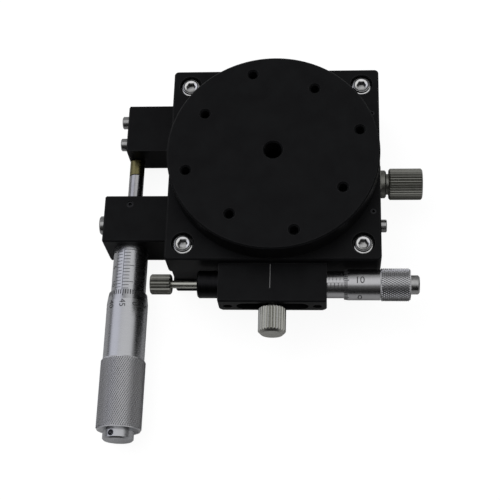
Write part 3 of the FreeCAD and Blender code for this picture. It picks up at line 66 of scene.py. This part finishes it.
def axis_line(node, axis, start):
    """The centre line of a turned node: a matrix whose Z runs along the line from its start."""
    low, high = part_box(node)
    centre = (low + high) / 2
    along = Vector(axis)
    for number in range(3):
        if abs(along[number]) > 0.5:
            centre[number] = start
    side = Vector((0, 0, 1))
    across = side.cross(along)
    turn = Matrix((side, across, along)).transposed()
    return Matrix.Translation(centre) @ turn.to_4x4()


def radius_of(node):
    """Half the height of a node that is turned about a level axis."""
    low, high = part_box(node)
    return (high.z - low.z) / 2


def around(line, reach, turn, along):
    """The point of a turned surface at a radius, an angle and a distance along its centre line."""
    return line @ Vector((reach * math.cos(turn), reach * math.sin(turn), along))


def finish_mesh(name, bm, body, material, smooth_angle=None):
    """Turn a bmesh into a piece that rides on a body."""
    bmesh.ops.recalc_face_normals(bm, faces=bm.faces)
    mesh = bpy.data.meshes.new(name)
    bm.to_mesh(mesh)
    bm.free()
    piece = bpy.data.objects.new(name, mesh)
    bpy.context.scene.collection.objects.link(piece)
    mesh.materials.append(material)
    if smooth_angle:
        mesh.shade_smooth()
        mesh.set_sharp_from_angle(angle=math.radians(smooth_angle))
    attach(piece, body)
    return piece


# Materials


class Shader:
    """A material under construction: its node tree, its surface shader and its output."""

    def __init__(self, name):
        self.material = bpy.data.materials.new(name)
        self.material.use_nodes = True
        self.tree = self.material.node_tree
        self.surface = self.tree.nodes["Principled BSDF"]
        self.output = self.tree.nodes["Material Output"]

    def add(self, kind, **sockets):
        made = self.tree.nodes.new(kind)
        for key, setting in sockets.items():
            if hasattr(made, key):
                setattr(made, key, setting)
            else:
                made.inputs[key.replace("_", " ").title()].default_value = setting
        return made

    def link(self, start, end):
        self.tree.links.new(start, end)

    def fixed(self, sockets):
        for key, setting in sockets.items():
            self.surface.inputs[key].default_value = setting

    def noise(self, stretch, detail=4.0, roughness=0.6):
        """Noise over the object, stretched by three scales in features per metre."""
        where = self.add("ShaderNodeTexCoord")
        mapping = self.add("ShaderNodeMapping")
        mapping.inputs["Scale"].default_value = stretch
        texture = self.add("ShaderNodeTexNoise")
        texture.inputs["Scale"].default_value = 1.0
        texture.inputs["Detail"].default_value = detail
        texture.inputs["Roughness"].default_value = roughness
        self.link(where.outputs["Object"], mapping.inputs["Vector"])
        self.link(mapping.outputs["Vector"], texture.inputs["Vector"])
        return texture.outputs["Fac"]

    def ramp(self, source, stops):
        """A colour ramp over a source; stops are (place, colour)."""
        ramp = self.add("ShaderNodeValToRGB")
        self.link(source, ramp.inputs["Fac"])
        elements = ramp.color_ramp.elements
        while len(elements) < len(stops):
            elements.new(0.5)
        for element, (spot, color) in zip(elements, stops):
            element.position = spot
            element.color = (*color, 1.0)
        return ramp.outputs["Color"]

    def level(self, source, low, high, start=0.35, end=0.65):
        """A source's middle range stretched to run from one value to another."""
        stretch = self.add("ShaderNodeMapRange")
        self.link(source, stretch.inputs["Value"])
        for key, setting in (("From Min", start), ("From Max", end), ("To Min", low), ("To Max", high)):
            stretch.inputs[key].default_value = setting
        return stretch.outputs["Result"]

    def bump(self, source, depth, strength=1.0):
        bump = self.add("ShaderNodeBump")
        bump.inputs["Strength"].default_value = strength
        bump.inputs["Distance"].default_value = depth
        self.link(source, bump.inputs["Height"])
        self.link(bump.outputs["Normal"], self.surface.inputs["Normal"])

    def edges(self, radius):
        """A mask that is 1 along sharp edges, from a rounded normal against the true one."""
        bevel = self.add("ShaderNodeBevel")
        bevel.inputs["Radius"].default_value = radius
        shape = self.add("ShaderNodeNewGeometry")
        dot = self.add("ShaderNodeVectorMath", operation="DOT_PRODUCT")
        self.link(bevel.outputs["Normal"], dot.inputs[0])
        self.link(shape.outputs["Normal"], dot.inputs[1])
        return self.level(dot.outputs["Value"], 1.0, 0.0, 0.80, 0.99)


def anodised(name, dark, light, roughness):
    """Black anodised aluminium: a blasted grain, faint cloudiness, and sharp edges drawn lighter, partly as
    wear and partly as a painted highlight.
    """
    shader = Shader(name)
    cloud = shader.ramp(shader.noise((160, 160, 160)), [(0.35, dark), (0.65, light)])
    # sharp edges mixed towards a paler colour: partly wear, partly a painted highlight
    mix = shader.add("ShaderNodeMix", data_type="RGBA")
    shader.link(shader.edges(EDGE_WEAR_AND_HIGHLIGHT), mix.inputs["Factor"])
    shader.link(cloud, mix.inputs["A"])
    mix.inputs["B"].default_value = (0.028, 0.028, 0.029, 1)
    shader.link(mix.outputs["Result"], shader.surface.inputs["Base Color"])
    grain = shader.noise((5200, 5200, 5200), 3.0)
    shader.link(shader.level(grain, roughness - 0.05, roughness + 0.08), shader.surface.inputs["Roughness"])
    shader.bump(grain, 0.012 * MM, 0.5)
    shader.fixed({"Specular IOR Level": 0.07})
    return shader.material


def metal(name, dark, light, roughness, stretch, depth=0.004 * MM, spread=0.1):
    """Bare or plated metal with the lines that turning or grinding leaves."""
    shader = Shader(name)
    lines = shader.noise(stretch, 3.0, 0.5)
    shader.link(shader.ramp(lines, [(0.3, dark), (0.7, light)]), shader.surface.inputs["Base Color"])
    rough = shader.level(lines, roughness - spread / 2, roughness + spread)
    shader.link(rough, shader.surface.inputs["Roughness"])
    shader.bump(lines, depth, 0.6)
    shader.fixed({"Metallic": 1.0})
    return shader.material


def knurled_metal(name, valley_shade, ridge_highlight, roughness):
    """Plated knurling: painted shade in its valleys and a painted highlight on its ridges, drawn from the
    mesh's pointiness.
    """
    shader = Shader(name)
    shape = shader.add("ShaderNodeNewGeometry")
    shade = shader.ramp(shape.outputs["Pointiness"], [(0.44, valley_shade), (0.53, ridge_highlight)])
    shader.link(shade, shader.surface.inputs["Base Color"])
    grain = shader.noise((2500, 2500, 2500), 3.0)
    shader.link(shader.level(grain, roughness - 0.03, roughness + 0.05), shader.surface.inputs["Roughness"])
    shader.fixed({"Metallic": 1.0})
    return shader.material


def ink(name, color):
    """Filled engraving: matt, slightly uneven."""
    shader = Shader(name)
    patches = shader.noise((3000, 3000, 3000))
    pale = tuple(min(1.0, part * 1.35 + 0.01) for part in color)
    shader.link(shader.ramp(patches, [(0.35, color), (0.7, pale)]), shader.surface.inputs["Base Color"])
    shader.fixed({"Roughness": 0.6})
    return shader.material


BLACK = anodised("black_anodised", (0.0036, 0.0036, 0.0040), (0.0050, 0.0052, 0.0056), 0.40)
BLACK_TURNED = metal("turned_black", (0.010, 0.010, 0.011), (0.018, 0.018, 0.019), 0.36, (9000, 300, 300))
BLACK_OXIDE = metal("black_oxide_screw", (0.02, 0.02, 0.022), (0.035, 0.035, 0.037), 0.35, (2500, 2500, 900))
CHROME_Y = metal("large_chrome", (0.48, 0.485, 0.50), (0.51, 0.515, 0.53), 0.27, (120, 6000, 120), 1e-7, 0.01)
CHROME_X = metal("small_chrome", (0.48, 0.48, 0.485), (0.51, 0.51, 0.515), 0.25, (6000, 120, 120), 1e-7, 0.01)
# each knurl's darker colour is painted shade in the valleys, its paler colour a painted highlight on the
# ridges
LARGE_KNURL = knurled_metal("large_knurl", (0.36, 0.36, 0.366), (0.68, 0.68, 0.695), 0.40)
FINE_KNURL = knurled_metal("fine_knurl", (0.30, 0.30, 0.305), (0.72, 0.72, 0.73), 0.26)
NICKEL_X = metal("nickel_knob_x", (0.20, 0.20, 0.18), (0.29, 0.29, 0.26), 0.36, (6000, 400, 400))
NICKEL_Y = metal("nickel_knob_y", (0.36, 0.36, 0.325), (0.48, 0.48, 0.44), 0.30, (400, 6000, 400))
NICKEL_ROD = metal("nickel_rod", (0.42, 0.42, 0.38), (0.52, 0.52, 0.47), 0.24, (300, 6000, 300), 1e-6)
# the bright and dull steels are lit and shaded copies of the corner screws' steel: painted highlight on rims
# and flange, painted shade and dark reflection on flat tops and socket walls
STEEL_PAINTED_HIGHLIGHT = metal("steel_painted_highlight", (0.62, 0.62, 0.61), (0.76, 0.76, 0.75), 0.16, (900, 900, 900), 1e-6)
STEEL_PAINTED_SHADE = metal("steel_painted_shade", (0.05, 0.05, 0.052), (0.10, 0.10, 0.102), 0.30, (1800, 1800, 1800), 2e-6)
SCREW = metal("screw_steel", (0.34, 0.34, 0.335), (0.46, 0.46, 0.455), 0.22, (1200, 1200, 1200), 1e-6)
GROUND = metal("ground_steel", (0.34, 0.34, 0.35), (0.46, 0.46, 0.47), 0.20, (1500, 300, 1500), 2e-6)
SPRING = metal("spring_wire", (0.38, 0.38, 0.38), (0.5, 0.5, 0.5), 0.35, (2500, 2500, 2500))
BRASS = metal("brass", (0.155, 0.14, 0.062), (0.24, 0.215, 0.10), 0.30, (400, 5000, 400))
DARK_INK = ink("dark_marks", (0.012, 0.012, 0.013))
WHITE_INK = ink("white_marks", (0.12, 0.12, 0.12))

FINISHES = {
    BLACK: ["base_plate", "moving_plate", "micrometer_bracket", "anvil_block", "rotation_body", "turntable",
            "fine_block", "clamp_ring", "retaining_ring", "hub"],
    BLACK_TURNED: ["plunger_bush"],
    CHROME_Y: ["micrometer_sleeve", "thimble", "thimble_grip", "thimble_cap"],
    CHROME_X: ["fine_sleeve", "fine_thimble", "fine_grip"],
    NICKEL_X: ["lock_knob", "lock_bush", "lock_plate", "plunger_knob"],
    NICKEL_Y: ["clamp_knob"],
    NICKEL_ROD: ["plunger_pin"],
    BLACK_OXIDE: ["bracket_set_screw", "fine_block_set_screws", "travel_stop_pin", "side_plugs"],
    # fine_cap takes this darker screw steel rather than the chrome, as a painted dark reflection
    SCREW: ["inner_rail_screws", "outer_rail_screws", "bracket_screws", "stem_lock_screw", "anvil_screws",
            "lock_plate_screw", "body_screws", "retaining_screws", "fine_block_screws", "lock_plate_dowel",
            "fine_cap"],
    GROUND: ["left_inner_rail", "right_inner_rail", "left_outer_rail", "right_outer_rail", "rail_rollers",
             "bearing_outer_ring", "bearing_inner_ring", "bearing_rollers", "spindle",
             "fine_spindle", "fine_tip", "fixed_spring_pin", "moving_spring_pin"],
    SPRING: ["return_spring", "plunger_spring"],
    BRASS: ["spindle_tip", "clamp_pad", "lock_pad", "left_roller_cage", "right_roller_cage", "bearing_cage"],
}


# A knob's flutes stay crisp, and a spring's six-sided wire looks round
SMOOTH_ANGLES = {"lock_knob": 28, "clamp_knob": 28, "plunger_knob": 28,
                 "return_spring": 75, "plunger_spring": 75}


def dress_nodes():
    """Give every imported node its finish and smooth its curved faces."""
    for material, names in FINISHES.items():
        for name in names:
            mesh = nodes[name].data
            mesh.materials.clear()
            mesh.materials.append(material)
            mesh.shade_smooth()
            mesh.set_sharp_from_angle(angle=math.radians(SMOOTH_ANGLES.get(name, SMOOTH_ANGLE)))
            shading = nodes[name].modifiers.new("even_shading", "WEIGHTED_NORMAL")
            shading.keep_sharp = True


# Knurls, marks and numbers


def knurled_ring(name, node, line, inner, material, body, teeth, rows, depth):
    """A diamond-knurled sleeve in place of a plain one: crossed grooves leave small pyramids."""
    low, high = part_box(node)
    size = high - low
    length = abs((line.to_3x3() @ Vector((0, 0, 1))).dot(size))
    radius = size.z / 2
    columns = teeth * KNURL_STEPS
    steps = int(rows * KNURL_STEPS)
    bm = bmesh.new()
    rings = []
    for step in range(steps + 1):
        share = step / steps
        height = share * length
        edge = max(0.0, 1 - min(height, length - height) / KNURL_BEVEL)
        ring = []
        for column in range(columns):
            turn = column / columns
            first = abs(((turn * teeth + share * rows) % 1.0) * 2 - 1)
            second = abs(((turn * teeth - share * rows) % 1.0) * 2 - 1)
            reach = radius - depth * (edge + (1 - edge) * (1 - min(first, second)))
            ring.append(bm.verts.new(around(line, reach, math.tau * turn, height)))
        rings.append(ring)
    for height in (length, 0.0):
        ring = []
        for column in range(columns):
            ring.append(bm.verts.new(around(line, inner, math.tau * column / columns, height)))
        rings.append(ring)
    rings.append(rings[0])
    for lower, upper in zip(rings, rings[1:]):
        for column in range(columns):
            after = (column + 1) % columns
            bm.faces.new((lower[column], lower[after], upper[after], upper[column]))
    piece = finish_mesh(name, bm, body, material, KNURL_SMOOTH_ANGLE)
    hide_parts(node)
    return piece


def marks(name, line, body, material, strips):
    """Thin raised strips on a turned surface; each is (start, end, angle, half width, radius 1, radius 2)."""
    bm = bmesh.new()
    for start, end, angle, half, first, last in strips:
        count = max(1, int(half / STRIP_STEP))
        rows = []
        for share in range(count + 1):
            turn = angle + (2 * share / count - 1) * half / first
            row = []
            for along, reach in ((start, first), (end, last)):
                for height in (reach - INK_DEPTH, reach + INK_LIFT):
                    row.append(bm.verts.new(around(line, height, turn, along)))
            rows.append(row)
        for low, high in zip(rows, rows[1:]):
            for one, two in ((0, 1), (1, 3), (3, 2), (2, 0)):
                bm.faces.new((low[one], low[two], high[two], high[one]))
        bm.faces.new((rows[0][0], rows[0][1], rows[0][3], rows[0][2]))
        bm.faces.new((rows[-1][0], rows[-1][1], rows[-1][3], rows[-1][2]))
    piece = finish_mesh(name, bm, body, material)
    return piece


def number_mesh(text, height):
    """The flat mesh of a number, centred, standing upright in X and Y, cut into narrow strips."""
    curve = bpy.data.curves.new("number", "FONT")
    curve.body = text
    curve.size = height * FONT_SIZE
    curve.align_x = "CENTER"
    curve.align_y = "CENTER"
    curve.resolution_u = 3
    holder = bpy.data.objects.new("number", curve)
    bpy.context.scene.collection.objects.link(holder)
    bpy.context.view_layer.update()
    flat = bpy.data.meshes.new_from_object(holder.evaluated_get(bpy.context.evaluated_depsgraph_get()))
    bpy.data.objects.remove(holder)
    bm = bmesh.new()
    bm.from_mesh(flat)
    bpy.data.meshes.remove(flat)
    cut = -height
    while cut < height:
        geometry = bm.verts[:] + bm.edges[:] + bm.faces[:]
        bmesh.ops.bisect_plane(bm, geom=geometry, plane_co=(0, cut, 0), plane_no=(0, 1, 0))
        cut += 2 * height / NUMBER_SLICES
    return bm


def numbers(name, line, body, material, entries):
    """Numbers that read along a turned surface; each entry is (text, along, angle, radius, height)."""
    whole = bmesh.new()
    for text, along, angle, radius, height in entries:
        bm = number_mesh(text, height)
        for vert in bm.verts:
            turn = angle + vert.co.y / radius
            vert.co = around(line, radius + INK_LIFT, turn, along + vert.co.x)
        bmesh.ops.recalc_face_normals(bm, faces=bm.faces)
        extra = bpy.data.meshes.new("glyph")
        bm.to_mesh(extra)
        bm.free()
        whole.from_mesh(extra)
        bpy.data.meshes.remove(extra)
    piece = finish_mesh(name, whole, body, material)
    return piece


def turned_piece(name, node, body, line, profile, material, segments=96):
    """A ring turned from a closed profile of (radius, place along the line), in place of a node."""
    bm = bmesh.new()
    rings = []
    for reach, along in profile:
        turns = [math.tau * count / segments for count in range(segments)]
        rings.append([bm.verts.new(around(line, reach, turn, along)) for turn in turns])
    for lower, upper in zip(rings, rings[1:] + rings[:1]):
        for count in range(segments):
            after = (count + 1) % segments
            bm.faces.new((lower[count], lower[after], upper[after], upper[count]))
    piece = finish_mesh(name, bm, body, material, 30)
    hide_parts(node)
    return piece


def make_large_micrometer():
    """Knurl, scales and numbers of the large micrometer. Angles run from the top towards +X."""
    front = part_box("micrometer_bracket")[0].y
    line = axis_line("micrometer_sleeve", (0, -1, 0), front)
    grip_line = axis_line("thimble_grip", (0, -1, 0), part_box("thimble_grip")[1].y)
    radius = radius_of("micrometer_sleeve")
    inner = radius_of("thimble_grip") - 0.8 * MM
    knurled_ring("grip_knurl", "thimble_grip", grip_line, inner, LARGE_KNURL, "micrometer_thimble", 62, 18,
                 0.34 * MM)
    datum = math.radians(-12)
    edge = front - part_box("thimble")[1].y
    zero = edge - LARGE_READING
    strips = [(zero - 0.4 * MM, zero + 36 * MM, datum, 0.07 * MM, radius, radius)]
    labels = []
    for count in range(26):
        along = zero + count * MM
        half = 1.55 * MM if count % 5 == 0 else 0.95 * MM
        strips.append((along - MARK_HALF, along + MARK_HALF, datum + half / radius, half, radius, radius))
        if count % 5 == 0:
            labels.append((str(count), along, datum - 3.5 * MM / radius, radius, 1.5 * MM))
    for count in range(25):
        along = zero + (count + 0.5) * MM
        half = 0.9 * MM
        shift = (0.5 * MM + half) / radius
        strips.append((along - MIDDLE_HALF, along + MIDDLE_HALF, datum - shift, half, radius, radius))
    marks("sleeve_scale", line, "base", DARK_INK, strips)
    numbers("sleeve_numbers", line, "base", DARK_INK, labels)
    outer = radius_of("thimble")
    thimble_scale("thimble", "micrometer_thimble", line, edge, outer - 0.4 * MM, outer, 2.9 * MM,
                  math.radians(31), 5, (1.5 * MM, 2.1 * MM), 4.3 * MM, 1.8 * MM)


def thimble_scale(name, body, line, edge, inner, outer, bevel, zero_angle, label_step, reaches, label_place,
                  label_height):
    """Fifty lines on a thimble's bevel and a number at every label_step of them."""
    strips = []
    labels = []
    for count in range(50):
        angle = zero_angle + math.tau * count / 50
        reach = reaches[1] if count % 5 == 0 else reaches[0]
        start = 0.05 * MM
        first, last = (inner + (outer - inner) * place / bevel for place in (start, reach))
        strips.append((edge + start, edge + reach, angle, THIMBLE_MARK_HALF, first, last))
        if count % label_step == 0:
            labels.append((str(count), edge + label_place, angle, outer, label_height))
    marks(name + "_scale", line, body, DARK_INK, strips)
    numbers(name + "_numbers", line, body, DARK_INK, labels)


def make_fine_micrometer():
    """Knurl, scales and numbers of the fine micrometer. Angles run from the top towards +Y."""
    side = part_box("fine_block")[1].x
    line = axis_line("fine_sleeve", (1, 0, 0), side)
    grip_line = axis_line("fine_grip", (1, 0, 0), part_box("fine_grip")[0].x)
    radius = radius_of("fine_sleeve")
    outer = radius_of("fine_thimble")
    seat = outer - 0.15 * MM
    knurled_ring("fine_knurl", "fine_grip", grip_line, seat, FINE_KNURL, "fine_thimble", 44, 7.5, 0.4 * MM)
    datum = math.radians(-13)
    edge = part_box("fine_thimble")[0].x - side - THIMBLE_EXTRA
    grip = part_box("fine_grip")[0].x - side
    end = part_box("fine_thimble")[1].x - side
    bore = radius + 0.05 * MM
    profile = [(bore, edge), (outer - 0.2 * MM, edge), (outer, edge + 1.4 * MM), (outer, grip), (seat, grip),
               (seat, end), (0.1 * MM, end), (0.1 * MM, end - 1 * MM), (bore, end - 1 * MM)]
    turned_piece("thimble_skirt", "fine_thimble", "fine_thimble", line, profile, CHROME_X)
    zero = edge - FINE_READING
    strips = [(zero - 0.3 * MM, zero + 11 * MM, datum, 0.06 * MM, radius, radius)]
    labels = []
    for count in range(11):
        along = zero + count * MM
        half = 1.2 * MM if count % 5 == 0 else 0.8 * MM
        strips.append((along - MARK_HALF, along + MARK_HALF, datum - half / radius, half, radius, radius))
        along += 0.5 * MM
        shift = 1.1 * MM / radius
        strips.append((along - MIDDLE_HALF, along + MIDDLE_HALF, datum + shift, 0.6 * MM, radius, radius))
        if count % 5 == 0:
            labels.append((str(count), along - 0.5 * MM, datum + 2.5 * MM / radius, radius, 1.2 * MM))
    marks("fine_sleeve_scale", line, "carriage", DARK_INK, strips)
    numbers("fine_sleeve_numbers", line, "carriage", DARK_INK, labels)
    thimble_scale("fine_thimble", "fine_thimble", line, edge, outer - 0.2 * MM, outer, 1.4 * MM,
                  math.radians(-3 - 72), 10, (1.0 * MM, 1.35 * MM), 4.3 * MM, 2.0 * MM)


# A corner screw from its flange inwards: radius and drop below its top, in mm, and which of its rings take
# the painted shade
HEAD_SHAPE = [(3.2, 2.2), (3.2, 0.98), (3.12, 0.90), (2.46, 0.70), (2.46, 0.32), (2.40, 0.12), (2.24, 0.0),
              (1.86, 0.0)]
SHANK_RADIUS = 1.5 * MM
SOCKET_ACROSS = 2.5 * MM
SOCKET_SLOPE = 0.42         # drop of the countersunk rim for its width
SOCKET_FLOOR = (0.35 * MM, 1.25 * MM, 1.05 * MM)    # middle radius, drop at the rim, drop in the middle
SCREW_SEGMENTS = 72
# rings in the dull steel are painted shade and dark reflection (a band of the rounded edge, the flat top, the
# socket walls); the socket floor takes the mid screw steel
RING_PAINTED_TONES = {6: 1, 8: 1, 10: 1, 11: 2}


def make_corner_screws():
    """The four corner screws: a flange, a rounded edge and a countersunk hexagon, in three tones of one steel
    that paint in their highlight and shade.
    """
    low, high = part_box("body_screws")
    head = 2.75 * MM
    middle, rim_drop, middle_drop = SOCKET_FLOOR
    turns = [math.tau * count / SCREW_SEGMENTS for count in range(SCREW_SEGMENTS)]
    bm = bmesh.new()
    for x, y in ((low.x + head, low.y + head), (low.x + head, high.y - head),
                 (high.x - head, low.y + head), (high.x - head, high.y - head)):
        line = Matrix.Translation((x, y, high.z))
        rings = [[SHANK_RADIUS for turn in turns], [SHANK_RADIUS for turn in turns]]
        drops = [[high.z - low.z for turn in turns], [HEAD_SHAPE[0][1] * MM for turn in turns]]
        for reach, drop in HEAD_SHAPE:
            rings.append([reach * MM for turn in turns])
            drops.append([drop * MM for turn in turns])
        flats = [SOCKET_ACROSS / 2 / math.cos((turn % (math.pi / 3)) - math.pi / 6) for turn in turns]
        rings += [flats, flats, [middle for turn in turns]]
        drops += [[(HEAD_SHAPE[-1][0] * MM - flat) * SOCKET_SLOPE for flat in flats],
                  [rim_drop for turn in turns], [middle_drop for turn in turns]]
        made = []
        for ring, drop in zip(rings, drops):
            made.append([bm.verts.new(around(line, *each)) for each in zip(ring, turns, (-d for d in drop))])
        for number, (outer, inner) in enumerate(zip(made, made[1:])):
            for count in range(SCREW_SEGMENTS):
                after = (count + 1) % SCREW_SEGMENTS
                face = bm.faces.new((outer[count], outer[after], inner[after], inner[count]))
                face.material_index = RING_PAINTED_TONES.get(number, 0)
        bm.faces.new(made[0])
        bm.faces.new(made[-1]).material_index = 2
    # bright steel as painted highlight, then the dull steel as painted shade, then the mid screw steel
    piece = finish_mesh("corner_screws", bm, "carriage", STEEL_PAINTED_HIGHLIGHT, 40)
    piece.data.materials.append(STEEL_PAINTED_SHADE)
    piece.data.materials.append(SCREW)
    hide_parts("body_screws")


def make_index_line():
    """The white index line across the top of the fine block."""
    back_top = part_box("fine_block")[1]
    bm = bmesh.new()
    size = Vector((0.17 * MM, 7.0 * MM, 0.02 * MM))
    centre = Vector((-0.6 * MM, back_top.y - size.y / 2 - 0.3 * MM, back_top.z))
    bmesh.ops.create_cube(bm, size=1.0)
    for vert in bm.verts:
        vert.co = centre + vert.co * size
    piece = finish_mesh("index_line", bm, "carriage", WHITE_INK)


# Floor, lights and camera


FLOOR_GLOW = 0.92
FLOOR_MATT = (0.13, 0.13, 0.13, 1)
# the floor's colour to everything but a camera is a painted pool of light: paler near the middle, darker
# further out
FLOOR_NEAR, FLOOR_FAR = 0.43, 0.20      # how pale the floor is to everything but a camera, near and far


def make_floor():
    """A pale floor: plain where a camera looks at it, and for everything else a sheet in a dim room, painted
    paler near the middle as a pool of light.
    """
    shader = Shader("floor")
    where = shader.add("ShaderNodeTexCoord")
    far = shader.add("ShaderNodeVectorMath", operation="LENGTH")
    shader.link(where.outputs["Object"], far.inputs[0])
    pale = shader.level(far.outputs["Value"], FLOOR_NEAR, FLOOR_FAR, 0.08, 0.35)
    shader.link(pale, shader.surface.inputs["Base Color"])
    shader.fixed({"Roughness": 0.9})
    glow = shader.add("ShaderNodeEmission")
    glow.inputs["Strength"].default_value = FLOOR_GLOW
    matt = shader.add("ShaderNodeBsdfDiffuse")
    matt.inputs["Color"].default_value = FLOOR_MATT
    both = shader.add("ShaderNodeAddShader")
    shader.link(matt.outputs["BSDF"], both.inputs[0])
    shader.link(glow.outputs["Emission"], both.inputs[1])
    path = shader.add("ShaderNodeLightPath")
    choose = shader.add("ShaderNodeMixShader")
    shader.link(path.outputs["Is Camera Ray"], choose.inputs["Fac"])
    shader.link(shader.surface.outputs["BSDF"], choose.inputs[1])
    shader.link(both.outputs["Shader"], choose.inputs[2])
    shader.link(choose.outputs["Shader"], shader.output.inputs["Surface"])
    bm = bmesh.new()
    bmesh.ops.create_circle(bm, cap_ends=True, segments=64, radius=3.0)
    mesh = bpy.data.meshes.new("floor")
    bm.to_mesh(mesh)
    bm.free()
    floor = bpy.data.objects.new("floor", mesh)
    bpy.context.scene.collection.objects.link(floor)
    mesh.materials.append(shader.material)


# Bright parts of the room: direction, cosines where the light starts and is full, and colour
ROOM_LIGHTS = [
    ((-0.12, 0.04, 0.99), (0.83, 0.96), (0.92, 0.92, 0.94)),
    ((0.38, 0.22, 0.90), (0.72, 0.94), (0.88, 0.88, 0.89)),
    ((-0.70, 0.38, 0.60), (0.82, 0.96), (0.91, 0.92, 1.01)),
]


ROOM_GLOW = ((0, 0.6, 0.8), (-0.2, 0.95), (0.02, 0.34))    # direction, cosines, and its level at each


def make_world():
    """White to the camera; to everything else a dim room with a bright ceiling and left side."""
    world = bpy.data.worlds.new("studio")
    bpy.context.scene.world = world
    world.use_nodes = True
    tree = world.node_tree
    background = tree.nodes["Background"]
    where = tree.nodes.new("ShaderNodeTexCoord")

    def weight(direction, reach, full):
        """A soft lobe around a direction, between two cosines."""
        dot = tree.nodes.new("ShaderNodeVectorMath")
        dot.operation = "DOT_PRODUCT"
        dot.inputs[1].default_value = Vector(direction).normalized()
        tree.links.new(where.outputs["Generated"], dot.inputs[0])
        ease = tree.nodes.new("ShaderNodeMapRange")
        ease.interpolation_type = "SMOOTHSTEP"
        for key, setting in zip(("From Min", "From Max", "To Min", "To Max"), (*reach, *full)):
            ease.inputs[key].default_value = setting
        tree.links.new(dot.outputs["Value"], ease.inputs["Value"])
        return ease.outputs["Result"]

    def combined(operation, first, second):
        """Two colours joined; the second may be a plain tuple."""
        both = tree.nodes.new("ShaderNodeVectorMath")
        both.operation = operation
        tree.links.new(first, both.inputs[0])
        if isinstance(second, tuple):
            both.inputs[1].default_value = second
        else:
            tree.links.new(second, both.inputs[1])
        return both.outputs["Vector"]

    total = weight(*ROOM_GLOW)
    for direction, reach, color in ROOM_LIGHTS:
        lamp = combined("MULTIPLY", weight(direction, reach, (0, 1)), color)
        total = combined("MAXIMUM", total, lamp)
    path = tree.nodes.new("ShaderNodeLightPath")
    mix = tree.nodes.new("ShaderNodeMix")
    mix.data_type = "RGBA"
    tree.links.new(total, mix.inputs["A"])
    mix.inputs["B"].default_value = (1, 1, 1, 1)
    tree.links.new(path.outputs["Is Camera Ray"], mix.inputs["Factor"])
    tree.links.new(mix.outputs["Result"], background.inputs["Color"])


def area_light(name, place, target, size, power):
    """A soft lamp that lights surfaces but isn't mirrored in the metal."""
    light = bpy.data.lights.new(name, "AREA")
    light.shape = "RECTANGLE"
    light.size = size[0]
    light.size_y = size[1]
    light.energy = power
    holder = bpy.data.objects.new(name, light)
    bpy.context.scene.collection.objects.link(holder)
    holder.visible_glossy = False
    holder.location = place
    holder.rotation_euler = (Vector(target) - Vector(place)).to_track_quat("-Z", "Y").to_euler()


CAMERA_LENS = 79.855
CAMERA_PLACE = (0.01576, -0.14275, 0.30705)
CAMERA_ANGLES = (67.36, 10.72, -9.92)   # elevation, azimuth and roll in degrees


def make_camera():
    """The camera at the photograph's angle: placed, turned and rolled as the photograph shows."""
    camera = bpy.data.cameras.new("camera")
    camera.lens = CAMERA_LENS
    camera.sensor_width = 36.0
    camera.clip_start = 0.01
    holder = bpy.data.objects.new("camera", camera)
    bpy.context.scene.collection.objects.link(holder)
    elevation, azimuth, roll = (math.radians(angle) for angle in CAMERA_ANGLES)
    back = Vector((math.sin(azimuth) * math.cos(elevation), -math.cos(azimuth) * math.cos(elevation),
                   math.sin(elevation)))
    right = (-back).cross(Vector((0, 0, 1))).normalized()
    up = back.cross(right)
    turned_right = right * math.cos(roll) + up * math.sin(roll)
    turned_up = up * math.cos(roll) - right * math.sin(roll)
    turn = Matrix((turned_right, turned_up, back)).transposed()
    holder.matrix_world = Matrix.Translation(CAMERA_PLACE) @ turn.to_4x4()
    bpy.context.scene.camera = holder


dress_nodes()
make_large_micrometer()
make_fine_micrometer()
make_corner_screws()
make_index_line()
make_floor()
make_world()
area_light("key", (-0.30, 0.15, 0.60), (0, -0.02, 0), (0.6, 0.6), 2.3)
area_light("fill", (0.40, -0.35, 0.50), (0, -0.02, 0), (0.5, 0.4), 1.0)
make_camera()
bpy.context.scene.view_settings.view_transform = "Standard"
